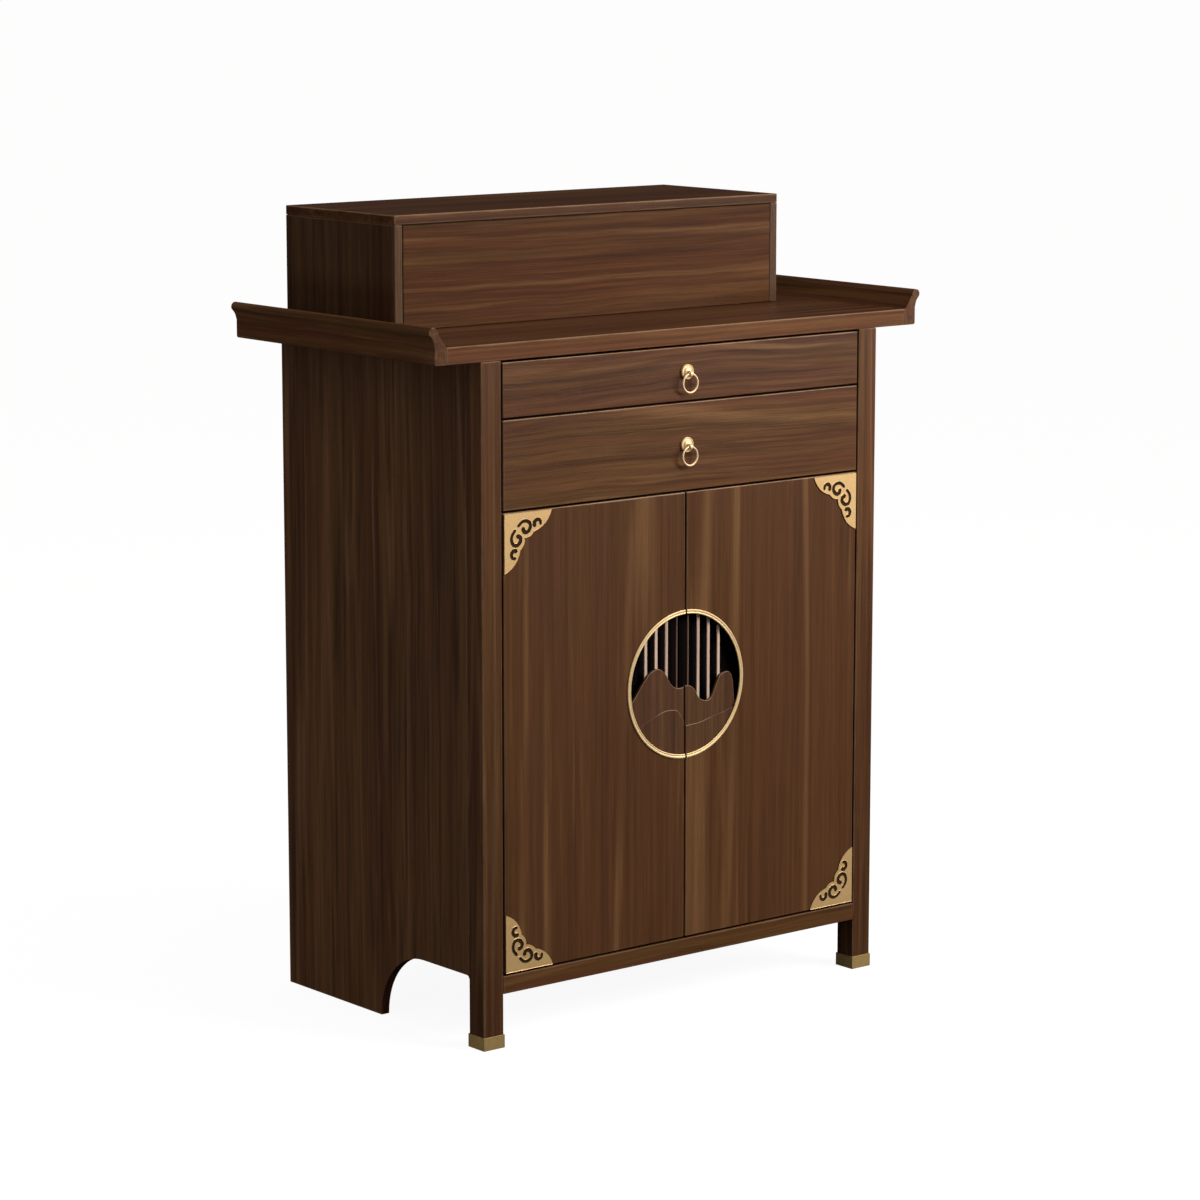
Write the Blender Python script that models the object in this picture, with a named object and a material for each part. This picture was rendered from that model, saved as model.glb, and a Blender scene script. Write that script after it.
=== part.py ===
"""Household altar cabinet: a walnut-veneered cupboard with two drawers, two inset doors with a round
window, an upturned tabletop and a low riser at its back. Metres, +Z up, the front faces -Y and the
origin is on the floor, in the middle of the whole cabinet's footprint."""
import math

import bmesh
import bpy
from mathutils import Matrix, Vector
from mathutils.geometry import interpolate_bezier

# Carcass
BODY_WIDTH = 0.662
BODY_DEPTH = 0.430
BODY_HEIGHT = 0.875
POST_SIZE = 0.031
SIDE_THICKNESS = 0.012
UNDERSIDE_HEIGHT = 0.0924
REAR_LEG_DEPTH = 0.2096
LEG_FILLET = 0.004
RAIL_HEIGHT = 0.023
RAIL_LAP = 0.010
BACK_THICKNESS = 0.009
FLOOR_THICKNESS = 0.012
DIVIDER_THICKNESS = 0.012
CAP_HEIGHT = 0.0172
CAP_WALL = 0.0008
CAP_BASE = 0.0012
EDGE = 0.0008

# Tabletop with its upturned ends, and the riser on it
TOP_OVERHANG = 0.052
TOP_THICKNESS = 0.0215
MOULDING_WIDTH = 0.0182
MOULDING_HEIGHT = 0.047
MOULDING_LEAN = 0.0082
MOULDING_TIP_RADIUS = 0.0062
MOULDING_FOOT_RADIUS = 0.003
MOULDING_TIP_START = math.radians(-32)
MOULDING_TIP_END = math.radians(160)
RISER_INSET = 0.0095
RISER_DEPTH = 0.240
RISER_HEIGHT = 0.1465
RISER_BOARD = 0.012

# Shares of the moulding's height and lean: its neck, the turn above it, and its slope to the board
MOULDING_NECK = 0.50
MOULDING_TURN = (0.33, 0.68)
MOULDING_SLOPE = (0.45, 0.38)

# Doors and drawer fronts
FRONT_GAP = 0.003
FRONT_THICKNESS = 0.018
UPPER_FRONT_HEIGHT = 0.069
LOWER_FRONT_HEIGHT = 0.113

# Drawer boxes
DRAWER_BACK_GAP = 0.0174
DRAWER_SIDE_GAP = 0.006
DRAWER_HEADROOM = 0.008
DRAWER_WALL = 0.010
DRAWER_BOTTOM = 0.005
RUN_CLEARANCE = 0.0006

# Ring pulls
ROSETTE_RADIUS = 0.0098
ROSETTE_THICKNESS = 0.0044
RIM_WIDTH = 0.0015
RIM_HEIGHT = 0.0028
RIM_EASE = 0.0006
GROOVE_HEIGHT = 0.002
DOME_RADIUS = 0.0066
PULL_RISE = 0.0024
EYE_OFFSET = 0.0076
EYE_RADIUS = 0.0038
EYE_WIDTH = 0.004
EYE_DROP = 0.0022
RING_RADIUS = 0.0135
WIRE_RADIUS = 0.0014
WIRE_CLEARANCE = 0.0006

# Round window, half on each door
WINDOW_RADIUS = 0.098
WINDOW_RISE = 0.3374
BAND_WIDTH = 0.0056
BAND_THICKNESS = 0.0015
BAND_LAP = 0.0034
TRAY_WALL = 0.001
TRAY_BACK = 0.003
RELIEF_THICKNESS = 0.004
RELIEF_RECESS = 0.0018
HILL_RAISE = 0.0012
SLAT_WIDTH = 0.0046
SEAM_SLAT_WIDTH = 0.0022
SLAT_DEPTH = 0.002
SLAT_PITCH = 0.0174
SEAM_SLAT_OFFSET = 0.0095
SLATS_PER_DOOR = 4

# Crests of the mountains and of the hill before them, and where each crest meets the rim: shares of
# the window's inner radius, from its middle
RIDGES = {
    "left": (
        (0.0, -0.043), (-0.092, -0.056), (-0.193, -0.022), (-0.276, 0.065), (-0.346, 0.182),
        (-0.465, 0.262), (-0.601, 0.233), (-0.693, 0.152), (-0.795, 0.030), (-0.895, -0.100),
    ),
    "right": (
        (0.0, -0.035), (0.081, -0.032), (0.157, -0.074), (0.216, -0.141), (0.273, -0.233),
        (0.379, -0.285), (0.465, -0.276), (0.530, -0.206), (0.590, -0.070), (0.649, 0.038),
        (0.731, 0.076), (0.812, 0.078), (0.866, 0.024), (0.893, -0.065), (0.905, -0.190),
    ),
}
HILLS = {
    "left": ((0.0, -0.547), (-0.065, -0.460), (-0.135, -0.366), (-0.323, -0.340), (-0.486, -0.379)),
    "right": ((0.0, -0.595), (0.100, -0.590), (0.288, -0.576), (0.477, -0.528)),
}
RIDGE_FEET = {"left": -0.200, "right": -0.380}
HILL_FEET = {"left": -0.519, "right": -0.433}

# Corner plates
PLATE_LEG = 0.0755
PLATE_THICKNESS = 0.001
PLATE_INSET = 0.0006
SCROLL_SLOT = 0.0046

# Shares of a corner plate's leg, from its corner: its edge, how far the edge bows, and its scrolls
PLATE_NOTCH = (0.622, 0.338)
PLATE_CUSP = (0.428, 0.428)
END_LOBE_BOW = 0.070
INNER_LOBE_BOW = 0.030
SCROLL = (
    (0.290, 0.222), (0.364, 0.160), (0.452, 0.147), (0.530, 0.188), (0.540, 0.267),
    (0.480, 0.335), (0.410, 0.326), (0.388, 0.268),
)
HOOK = ((0.757, 0.224), (0.745, 0.166), (0.684, 0.142), (0.627, 0.184), (0.634, 0.246))
SCROLL_TAIL = 0.85
SCROLL_SWELL = 0.42

# Concealed hinges, with their pin in the middle of the door's thickness
HINGE_INSET = 0.018
HINGE_FROM_END = 0.090
DOOR_OPENING = math.radians(95)
SWING_CLEARANCE = 0.001
ARM_WIDTH = 0.005
ARM_THICKNESS = 0.004
ARM_CLEARANCE = 0.0007
PIN_RADIUS = 0.0025
PIN_LENGTH = 0.026
PIN_CLEARANCE = 0.0003
HINGE_PLATE_HEIGHT = 0.040
HINGE_PLATE_THICKNESS = 0.002

# Gap left between pieces that touch
JOINT = 0.0003

# How finely curves are drawn
SHARP_ANGLE = math.radians(35)
ROUND_STEPS = 16
HALF_ROUND_STEPS = 28
FILLET_STEPS = 5
FLOW_STEPS = 3
BOW_STEPS = 6
DOME_STEPS = 4
TURNED_STEPS = 20
RING_STEPS = 24
WIRE_SIDES = 8
PIN_SIDES = 20

# Places worked out from the sizes
FRONT_Y = (EYE_OFFSET + EYE_RADIUS - BODY_DEPTH) / 2
BACK_Y = FRONT_Y + BODY_DEPTH
HALF_BODY = BODY_WIDTH / 2
HALF_TOP = HALF_BODY + TOP_OVERHANG
POST_INNER_X = HALF_BODY - POST_SIZE
SIDE_INNER_X = HALF_BODY - SIDE_THICKNESS
POST_BACK_Y = FRONT_Y + POST_SIZE
FRONT_BACK_Y = FRONT_Y + FRONT_THICKNESS
STOP_Y = FRONT_BACK_Y + JOINT
INNER_BACK_Y = BACK_Y - BACK_THICKNESS - JOINT
TOP_SURFACE = BODY_HEIGHT + TOP_THICKNESS
UPPER_FRONT_Z = BODY_HEIGHT - FRONT_GAP - UPPER_FRONT_HEIGHT
LOWER_FRONT_Z = UPPER_FRONT_Z - FRONT_GAP - LOWER_FRONT_HEIGHT
DIVIDER_Z = UPPER_FRONT_Z - DIVIDER_THICKNESS
CEILING_Z = LOWER_FRONT_Z - DIVIDER_THICKNESS
DOOR_TOP_Z = LOWER_FRONT_Z - FRONT_GAP
DOOR_BOTTOM_Z = UNDERSIDE_HEIGHT + FRONT_GAP
DOOR_OUTER_X = POST_INNER_X - FRONT_GAP
DOOR_INNER_X = FRONT_GAP / 2
WINDOW_Z = DOOR_BOTTOM_Z + WINDOW_RISE
OPENING_RADIUS = WINDOW_RADIUS - BAND_LAP
TRAY_RADIUS = OPENING_RADIUS - JOINT
HOLLOW_RADIUS = TRAY_RADIUS - TRAY_WALL
INNER_RADIUS = HOLLOW_RADIUS - JOINT
HINGE_X = DOOR_OUTER_X - HINGE_INSET
HINGE_Y = FRONT_Y + FRONT_THICKNESS / 2
HINGE_HEIGHTS = {"lower": DOOR_BOTTOM_Z + HINGE_FROM_END, "upper": DOOR_TOP_Z - HINGE_FROM_END}

PLANES = {
    "xy": (Vector((1, 0, 0)), Vector((0, 1, 0)), Vector((0, 0, 1))),
    "xz": (Vector((1, 0, 0)), Vector((0, 0, 1)), Vector((0, 1, 0))),
    "yz": (Vector((0, 1, 0)), Vector((0, 0, 1)), Vector((1, 0, 0))),
}
SIDES = {"left": -1, "right": 1}


def clear_scene():
    for obj in list(bpy.data.objects):
        bpy.data.objects.remove(obj, do_unlink=True)


def finish(name, color, roughness, metallic=0.0):
    """A plain finish from its colour, roughness and metal value."""
    material = bpy.data.materials.new(name)
    material.use_nodes = True
    shader = material.node_tree.nodes["Principled BSDF"]
    shader.inputs["Base Color"].default_value = (*color, 1.0)
    shader.inputs["Roughness"].default_value = roughness
    shader.inputs["Metallic"].default_value = metallic
    return material


def walnut_front():
    return finish("walnut_front", (0.115, 0.056, 0.029), 0.45)


def walnut_carcass():
    return finish("walnut_carcass", (0.085, 0.042, 0.022), 0.48)


def walnut_top():
    return finish("walnut_top", (0.075, 0.028, 0.013), 0.40)


def drawer_wood():
    return finish("drawer_wood", (0.30, 0.19, 0.11), 0.6)


def brass():
    return finish("brass", (0.68, 0.44, 0.19), 0.32, 1.0)


def blackened_wood():
    return finish("blackened_wood", (0.006, 0.005, 0.005), 0.6)


def pale_slat():
    return finish("pale_slat", (0.58, 0.40, 0.30), 0.55)


def world_place(obj):
    """Where an object's origin is, through its chain of unturned parents."""
    place = Vector((0, 0, 0))
    while obj is not None:
        place += obj.location
        obj = obj.parent
    return place


def pivot(name, place, parent=None):
    """An empty on a joint's axis, which its moving pieces hang from."""
    empty = bpy.data.objects.new(name, None)
    empty.empty_display_size = RING_RADIUS
    bpy.context.scene.collection.objects.link(empty)
    empty.parent = parent
    empty.location = Vector(place) - world_place(parent)
    return empty


def add_piece(name, bm, place, material=None, parent=None):
    """Makes a named object from a bmesh drawn about its own origin, and puts that origin in its place."""
    bmesh.ops.remove_doubles(bm, verts=bm.verts, dist=1e-7)
    bmesh.ops.recalc_face_normals(bm, faces=bm.faces)
    mesh = bpy.data.meshes.new(name)
    bm.to_mesh(mesh)
    bm.free()
    obj = bpy.data.objects.new(name, mesh)
    bpy.context.scene.collection.objects.link(obj)
    if material is not None:
        mesh.materials.append(material)
    obj.parent = parent
    obj.location = Vector(place) - world_place(parent)
    return obj


def ease_edges(obj, width):
    """A narrow chamfer on every sharp edge."""
    bevel = obj.modifiers.new("eased_edges", "BEVEL")
    bevel.width = width
    bevel.segments = 1
    bevel.limit_method = "ANGLE"
    bevel.angle_limit = SHARP_ANGLE
    return obj


def smooth(obj):
    """Rounds the shading of a turned or curved piece and keeps its real edges."""
    obj.data.shade_smooth()
    obj.data.set_sharp_from_angle(angle=SHARP_ANGLE)
    return obj


def box_mesh(low, high):
    """A box between two corners, drawn about its own middle, and that middle."""
    low = Vector(low)
    high = Vector(high)
    bm = bmesh.new()
    bmesh.ops.create_cube(bm, size=1.0, matrix=Matrix.Diagonal((*(high - low), 1.0)))
    return bm, (low + high) / 2


def board(name, low, high, material, parent=None, edge=EDGE):
    """A rectangular board between two corners, with eased edges."""
    bm, middle = box_mesh(low, high)
    obj = add_piece(name, bm, middle, material, parent)
    return ease_edges(obj, edge)


def prism_mesh(outline, plane, start, thickness):
    """An outline in one of the main planes, from start, extruded by its thickness."""
    across, up, through = PLANES[plane]
    bm = bmesh.new()
    verts = [bm.verts.new(across * a + up * b + through * start) for a, b in outline]
    face = bm.faces.new(verts)
    swept = bmesh.ops.extrude_face_region(bm, geom=[face])
    moved = [item for item in swept["geom"] if isinstance(item, bmesh.types.BMVert)]
    bmesh.ops.translate(bm, verts=moved, vec=through * thickness)
    return bm


def prism(name, outline, plane, start, thickness, place, material=None, parent=None):
    """A named piece extruded from an outline in world coordinates, with its origin at its place."""
    bm = prism_mesh(outline, plane, start, thickness)
    bmesh.ops.translate(bm, verts=bm.verts, vec=-Vector(place))
    return add_piece(name, bm, place, material, parent)


def pin_mesh(radius, length, axis):
    """A round pin about its own middle, along X or Z."""
    turn = Matrix.Rotation(math.pi / 2, 4, "Y") if axis == "X" else Matrix.Identity(4)
    bm = bmesh.new()
    bmesh.ops.create_cone(
        bm, cap_ends=True, segments=PIN_SIDES, radius1=radius, radius2=radius, depth=length, matrix=turn
    )
    return bm


def spin_round(bm, steps):
    """Sweeps a bmesh's line or loop once round +Z and joins its ends."""
    bmesh.ops.spin(
        bm,
        geom=bm.verts[:] + bm.edges[:],
        cent=(0, 0, 0),
        axis=(0, 0, 1),
        angle=math.tau,
        steps=steps,
        use_merge=True,
    )
    bmesh.ops.remove_doubles(bm, verts=bm.verts, dist=1e-7)


def turn_to_front(bm):
    """Turns what was drawn round +Z so that it faces the front."""
    bmesh.ops.rotate(bm, verts=bm.verts, cent=(0, 0, 0), matrix=Matrix.Rotation(math.pi / 2, 3, "X"))


def combine(obj, other, operation):
    """Cuts another object from this one, or joins it on."""
    other.hide_render = True
    other.display_type = "WIRE"
    change = obj.modifiers.new(other.name, "BOOLEAN")
    change.operation = operation
    change.solver = "EXACT"
    change.object = other
    return obj


def arc(middle, radius, start, end, steps=ROUND_STEPS):
    """Points along an arc, both ends included. Angles are in radians."""
    points = []
    for step in range(steps + 1):
        angle = start + (end - start) * step / steps
        points.append((middle[0] + radius * math.cos(angle), middle[1] + radius * math.sin(angle)))
    return points


def bowed(first, last, bow):
    """Points along a shallow arc that bows to the right of its chord. The last point is left out."""
    chord = last - first
    side = Vector((chord.y, -chord.x)).normalized()
    points = []
    for step in range(BOW_STEPS):
        share = step / BOW_STEPS
        points.append(tuple(first + chord * share + side * bow * 4 * share * (1 - share)))
    return points


def flowing(points, steps=FLOW_STEPS):
    """A smooth line through a few points, as Bezier stretches with even handles."""
    spots = [Vector((x, y, 0)) for x, y in points]
    line = []
    for index in range(len(spots) - 1):
        here = spots[index]
        there = spots[index + 1]
        leave = here + (there - spots[max(index - 1, 0)]) / 6
        arrive = there - (spots[min(index + 2, len(spots) - 1)] - here) / 6
        stretch = interpolate_bezier(here, leave, arrive, there, steps + 1)
        line.extend((spot.x, spot.y) for spot in stretch[:-1])
    line.append(tuple(points[-1]))
    return line


def side_panel(name, side, material):
    """A side: a wide rear leg, a quarter-round arch beside it, and a straight underside to the front post."""
    arch_y = BACK_Y - REAR_LEG_DEPTH - UNDERSIDE_HEIGHT
    front_y = POST_BACK_Y + JOINT
    top_z = BODY_HEIGHT - JOINT
    fillet_middle = (front_y + LEG_FILLET, UNDERSIDE_HEIGHT - LEG_FILLET)
    outline = [(BACK_Y, 0.0), (BACK_Y, top_z), (front_y, top_z)]
    outline += arc(fillet_middle, LEG_FILLET, math.pi, math.pi / 2, FILLET_STEPS)
    outline += arc((arch_y, 0.0), UNDERSIDE_HEIGHT, math.pi / 2, 0.0)
    start = SIDE_INNER_X if side > 0 else -HALF_BODY
    place = (side * (HALF_BODY - SIDE_THICKNESS / 2), (POST_BACK_Y + BACK_Y) / 2, BODY_HEIGHT / 2)
    obj = prism(name, outline, "yz", start, SIDE_THICKNESS, place, material)
    return ease_edges(obj, EDGE)


def front_post(name, side, material):
    """A square front post that runs down into its foot cap."""
    middle_x = side * (HALF_BODY - POST_SIZE / 2)
    low = (middle_x - POST_SIZE / 2, FRONT_Y, CAP_BASE + JOINT)
    high = (middle_x + POST_SIZE / 2, POST_BACK_Y, BODY_HEIGHT - JOINT)
    return board(name, low, high, material)


def foot_cap(name, side, material):
    """A square brass cup round the foot of a front post."""
    middle_x = side * (HALF_BODY - POST_SIZE / 2)
    middle_y = FRONT_Y + POST_SIZE / 2
    inner = POST_SIZE / 2 + JOINT
    outer = inner + CAP_WALL
    low = (middle_x - outer, middle_y - outer, 0.0)
    high = (middle_x + outer, middle_y + outer, CAP_HEIGHT)
    cap = board(name, low, high, material, edge=CAP_WALL / 3)
    low = (middle_x - inner, middle_y - inner, CAP_BASE)
    high = (middle_x + inner, middle_y + inner, 2 * CAP_HEIGHT)
    bm, middle = box_mesh(low, high)
    return combine(cap, add_piece(name + "_hollow", bm, middle), "DIFFERENCE")


def inner_board(name, low_z, thickness, nose, material):
    """A level board between the sides, with a nose between the front posts that stops the fronts."""
    full = SIDE_INNER_X - JOINT
    shoulder = max(POST_BACK_Y + JOINT, HINGE_Y + door_corner_reach() + SWING_CLEARANCE)
    half = [(nose, STOP_Y), (nose, shoulder), (full, shoulder), (full, INNER_BACK_Y)]
    outline = half + [(-x, y) for x, y in reversed(half)]
    place = (0, (STOP_Y + INNER_BACK_Y) / 2, low_z + thickness / 2)
    obj = prism(name, outline, "xy", low_z, thickness, place, material)
    return ease_edges(obj, EDGE)


def door_corner_reach():
    """How far the door's outer back corner is from the hinge's axis."""
    return math.hypot(HINGE_INSET, FRONT_BACK_Y - HINGE_Y)


def build_carcass(outer, metal):
    for word, side in SIDES.items():
        side_panel("side_panel_" + word, side, outer)
        front_post("front_post_" + word, side, outer)
        foot_cap("foot_cap_" + word, side, metal)
    between_posts = POST_INNER_X - JOINT
    between_sides = SIDE_INNER_X - JOINT
    rail_low = (-between_posts, FRONT_Y, UNDERSIDE_HEIGHT - RAIL_HEIGHT)
    rail_high = (between_posts, FRONT_BACK_Y + RAIL_LAP, UNDERSIDE_HEIGHT)
    board("bottom_rail", rail_low, rail_high, outer)
    back_low = (-between_sides, BACK_Y - BACK_THICKNESS, UNDERSIDE_HEIGHT)
    back_high = (between_sides, BACK_Y, BODY_HEIGHT - JOINT)
    board("back_panel", back_low, back_high, outer)
    open_back = FRONT_BACK_Y - HINGE_Y
    swung_in = open_back * math.sin(DOOR_OPENING) - HINGE_INSET * math.cos(DOOR_OPENING)
    clear_of_doors = HINGE_X - swung_in - SWING_CLEARANCE
    inner_board("cupboard_floor", UNDERSIDE_HEIGHT + JOINT, FLOOR_THICKNESS, clear_of_doors, outer)
    inner_board("cupboard_ceiling", CEILING_Z, DIVIDER_THICKNESS, clear_of_doors, outer)
    inner_board("drawer_divider", DIVIDER_Z, DIVIDER_THICKNESS, between_posts, outer)


def moulding_outline(side):
    """The upturned end: an upright outer face, a hollow neck, a round tip leaning out, and a slope inside."""
    inner_x = HALF_TOP + JOINT
    outer_x = HALF_TOP + MOULDING_WIDTH
    tip_middle = (
        outer_x + MOULDING_LEAN - MOULDING_TIP_RADIUS,
        BODY_HEIGHT + MOULDING_HEIGHT - MOULDING_TIP_RADIUS,
    )
    tip = arc(tip_middle, MOULDING_TIP_RADIUS, MOULDING_TIP_START, MOULDING_TIP_END)
    foot_middle = (outer_x - MOULDING_FOOT_RADIUS, BODY_HEIGHT + MOULDING_FOOT_RADIUS)
    neck = (outer_x, BODY_HEIGHT + MOULDING_HEIGHT * MOULDING_NECK)
    turn = (outer_x + MOULDING_LEAN * MOULDING_TURN[0], BODY_HEIGHT + MOULDING_HEIGHT * MOULDING_TURN[1])
    crest_x, crest_z = tip[-1]
    slope = (
        inner_x + (crest_x - inner_x) * MOULDING_SLOPE[0],
        TOP_SURFACE + (crest_z - TOP_SURFACE) * MOULDING_SLOPE[1],
    )
    outline = [(inner_x, BODY_HEIGHT)]
    outline += arc(foot_middle, MOULDING_FOOT_RADIUS, -math.pi / 2, 0.0, FILLET_STEPS)
    outline += flowing([neck, turn, tip[0]], FILLET_STEPS)[:-1]
    outline += tip
    outline += flowing([tip[-1], slope, (inner_x, TOP_SURFACE)], FILLET_STEPS)[1:]
    return [(side * x, z) for x, z in outline]


def build_top(surface, ends):
    low = (-HALF_TOP, FRONT_Y, BODY_HEIGHT)
    high = (HALF_TOP, BACK_Y, TOP_SURFACE)
    board("tabletop", low, high, surface)
    for word, side in SIDES.items():
        place = (side * (HALF_TOP + MOULDING_WIDTH / 2), (FRONT_Y + BACK_Y) / 2, BODY_HEIGHT)
        outline = moulding_outline(side)
        smooth(prism("end_moulding_" + word, outline, "xz", FRONT_Y, BODY_DEPTH, place, ends))


def build_riser(outer, surface):
    """A low closed box along the back of the tabletop: a top board on two sides, a front and a back."""
    half = HALF_BODY - RISER_INSET
    front_y = BACK_Y - RISER_DEPTH
    low_z = TOP_SURFACE + JOINT
    board_z = TOP_SURFACE + RISER_HEIGHT - RISER_BOARD
    high_z = board_z - JOINT
    board("riser_top", (-half, front_y, board_z), (half, BACK_Y, board_z + RISER_BOARD), surface)
    for word, side in SIDES.items():
        near, far = sorted((side * half, side * (half - RISER_BOARD)))
        board("riser_side_" + word, (near, front_y, low_z), (far, BACK_Y, high_z), outer)
    between = half - RISER_BOARD - JOINT
    board("riser_front", (-between, front_y, low_z), (between, front_y + RISER_BOARD, high_z), outer)
    back_low = (-between, BACK_Y - BACK_THICKNESS, low_z)
    board("riser_back", back_low, (between, BACK_Y, high_z), outer)


def rosette_profile():
    """Radius and height from the back's middle round the rim, over the groove and up the dome."""
    groove_start = ROSETTE_RADIUS - RIM_WIDTH - (RIM_HEIGHT - GROOVE_HEIGHT)
    profile = [(0.0, 0.0), (ROSETTE_RADIUS, 0.0), (ROSETTE_RADIUS, RIM_HEIGHT - RIM_EASE)]
    profile += [(ROSETTE_RADIUS - RIM_EASE, RIM_HEIGHT), (ROSETTE_RADIUS - RIM_WIDTH, RIM_HEIGHT)]
    profile += [(groove_start, GROOVE_HEIGHT), (DOME_RADIUS, GROOVE_HEIGHT)]
    for step in range(1, DOME_STEPS):
        angle = math.pi / 2 * step / DOME_STEPS
        lift = (ROSETTE_THICKNESS - GROOVE_HEIGHT) * math.sin(angle)
        profile.append((DOME_RADIUS * math.cos(angle), GROOVE_HEIGHT + lift))
    return profile + [(0.0, ROSETTE_THICKNESS)]


def rosette(name, middle, material, parent):
    """A turned rosette on the drawer front, with a pierced eye at its middle that the ring hangs in."""
    bm = bmesh.new()
    verts = [bm.verts.new((radius, 0, height)) for radius, height in rosette_profile()]
    for first, second in zip(verts, verts[1:]):
        bm.edges.new((first, second))
    spin_round(bm, TURNED_STEPS)
    turn_to_front(bm)
    face = Vector((middle.x, FRONT_Y - JOINT, middle.z))
    plate = smooth(add_piece(name, bm, face, material, parent))
    eye = Vector((middle.x, FRONT_Y - EYE_OFFSET, middle.z - EYE_DROP))
    root_y = FRONT_Y - ROSETTE_THICKNESS / 2
    lug = arc((eye.y, eye.z), EYE_RADIUS, math.pi / 2, math.pi * 3 / 2)
    lug += [(root_y, eye.z - EYE_RADIUS), (root_y, eye.z + EYE_RADIUS)]
    lug_piece = prism(name + "_eye", lug, "yz", middle.x - EYE_WIDTH / 2, EYE_WIDTH, eye, None, parent)
    combine(plate, lug_piece, "UNION")
    hole = pin_mesh(WIRE_RADIUS + WIRE_CLEARANCE, 3 * EYE_WIDTH, "X")
    combine(plate, add_piece(name + "_hole", hole, eye, None, parent), "DIFFERENCE")
    return eye


def pull_ring(name, material, parent):
    """A round wire ring, hanging from the pivot at its top."""
    middle_radius = RING_RADIUS - WIRE_RADIUS
    upright = Matrix.Translation((middle_radius, 0, 0)) @ Matrix.Rotation(math.pi / 2, 4, "X")
    bm = bmesh.new()
    bmesh.ops.create_circle(bm, segments=WIRE_SIDES, radius=WIRE_RADIUS, matrix=upright)
    spin_round(bm, RING_STEPS)
    turn_to_front(bm)
    bmesh.ops.translate(bm, verts=bm.verts, vec=(0, 0, -middle_radius))
    return smooth(add_piece(name, bm, world_place(parent), material, parent))


def build_drawer(word, front_z, front_height, room_top, front_wood, box_wood, metal):
    """A drawer: an inset front, a box of two sides, a back and a bottom, and a ring pull."""
    slide = pivot(word + "_drawer_slide", (0, FRONT_Y, front_z))
    front_low = (-DOOR_OUTER_X, FRONT_Y, front_z)
    front_high = (DOOR_OUTER_X, FRONT_BACK_Y, front_z + front_height)
    board(word + "_drawer_front", front_low, front_high, front_wood, slide)
    half = POST_INNER_X - DRAWER_SIDE_GAP
    end_y = INNER_BACK_Y - DRAWER_BACK_GAP
    base_z = front_z + RUN_CLEARANCE
    wall_z = base_z + DRAWER_BOTTOM + JOINT
    top_z = room_top - DRAWER_HEADROOM
    bottom_high = (half, end_y, base_z + DRAWER_BOTTOM)
    board(word + "_drawer_bottom", (-half, STOP_Y, base_z), bottom_high, box_wood, slide)
    for side_word, side in SIDES.items():
        near, far = sorted((side * half, side * (half - DRAWER_WALL)))
        name = word + "_drawer_side_" + side_word
        board(name, (near, STOP_Y, wall_z), (far, end_y, top_z), box_wood, slide)
    inside = half - DRAWER_WALL - JOINT
    back_low = (-inside, end_y - DRAWER_WALL, wall_z)
    board(word + "_drawer_back", back_low, (inside, end_y, top_z), box_wood, slide)
    middle = Vector((0, FRONT_Y, front_z + front_height / 2 + PULL_RISE))
    eye = rosette(word + "_rosette", middle, metal, slide)
    swing = pivot(word + "_pull_swing", eye, slide)
    pull_ring(word + "_pull_ring", metal, swing)


def half_circle(side, radius, edge_x=DOOR_INNER_X):
    """The door's share of a circle about the window's middle, bottom to top, starting at the seam."""
    start = math.asin(edge_x / radius)
    points = []
    for step in range(HALF_ROUND_STEPS + 1):
        angle = start + (math.pi - 2 * start) * step / HALF_ROUND_STEPS
        points.append((side * radius * math.sin(angle), WINDOW_Z - radius * math.cos(angle)))
    return points


def hinge_slot(leaf, side, hinge_z, parent):
    """Cuts the hinge arm's slot, open to the leaf's back and outer edge, and the pin's bore."""
    lead = HINGE_INSET * math.sin(DOOR_OPENING - math.pi / 2)
    slot_front = HINGE_Y - ARM_WIDTH / 2 - lead - ARM_CLEARANCE
    slot_edge = HINGE_X - ARM_WIDTH / 2 - ARM_CLEARANCE
    half_height = ARM_THICKNESS / 2 + ARM_CLEARANCE
    near, far = sorted((side * slot_edge, side * (DOOR_OUTER_X + FRONT_GAP)))
    low = (near, slot_front, hinge_z - half_height)
    high = (far, FRONT_BACK_Y + FRONT_GAP, hinge_z + half_height)
    bm, middle = box_mesh(low, high)
    combine(leaf, add_piece(leaf.name + "_slot", bm, middle, None, parent), "DIFFERENCE")
    bore = pin_mesh(PIN_RADIUS + PIN_CLEARANCE, PIN_LENGTH + 4 * PIN_CLEARANCE, "Z")
    spot = (side * HINGE_X, HINGE_Y, hinge_z)
    combine(leaf, add_piece(leaf.name + "_bore", bore, spot, None, parent), "DIFFERENCE")


def door_board(name, side, material, parent):
    """A door leaf with its half of the round opening, slotted at its back for the hinge arms."""
    near, far = sorted((side * DOOR_INNER_X, side * DOOR_OUTER_X))
    leaf = board(name, (near, FRONT_Y, DOOR_BOTTOM_Z), (far, FRONT_BACK_Y, DOOR_TOP_Z), material, parent)
    opening = half_circle(side, OPENING_RADIUS, edge_x=-FRONT_GAP)
    start = FRONT_Y - FRONT_GAP
    depth = FRONT_THICKNESS + 2 * FRONT_GAP
    middle = (side * WINDOW_RADIUS / 2, FRONT_Y, WINDOW_Z)
    cutter = prism(name + "_opening", opening, "xz", start, depth, middle, None, parent)
    combine(leaf, cutter, "DIFFERENCE")
    for hinge_z in HINGE_HEIGHTS.values():
        hinge_slot(leaf, side, hinge_z, parent)
    return leaf


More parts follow.
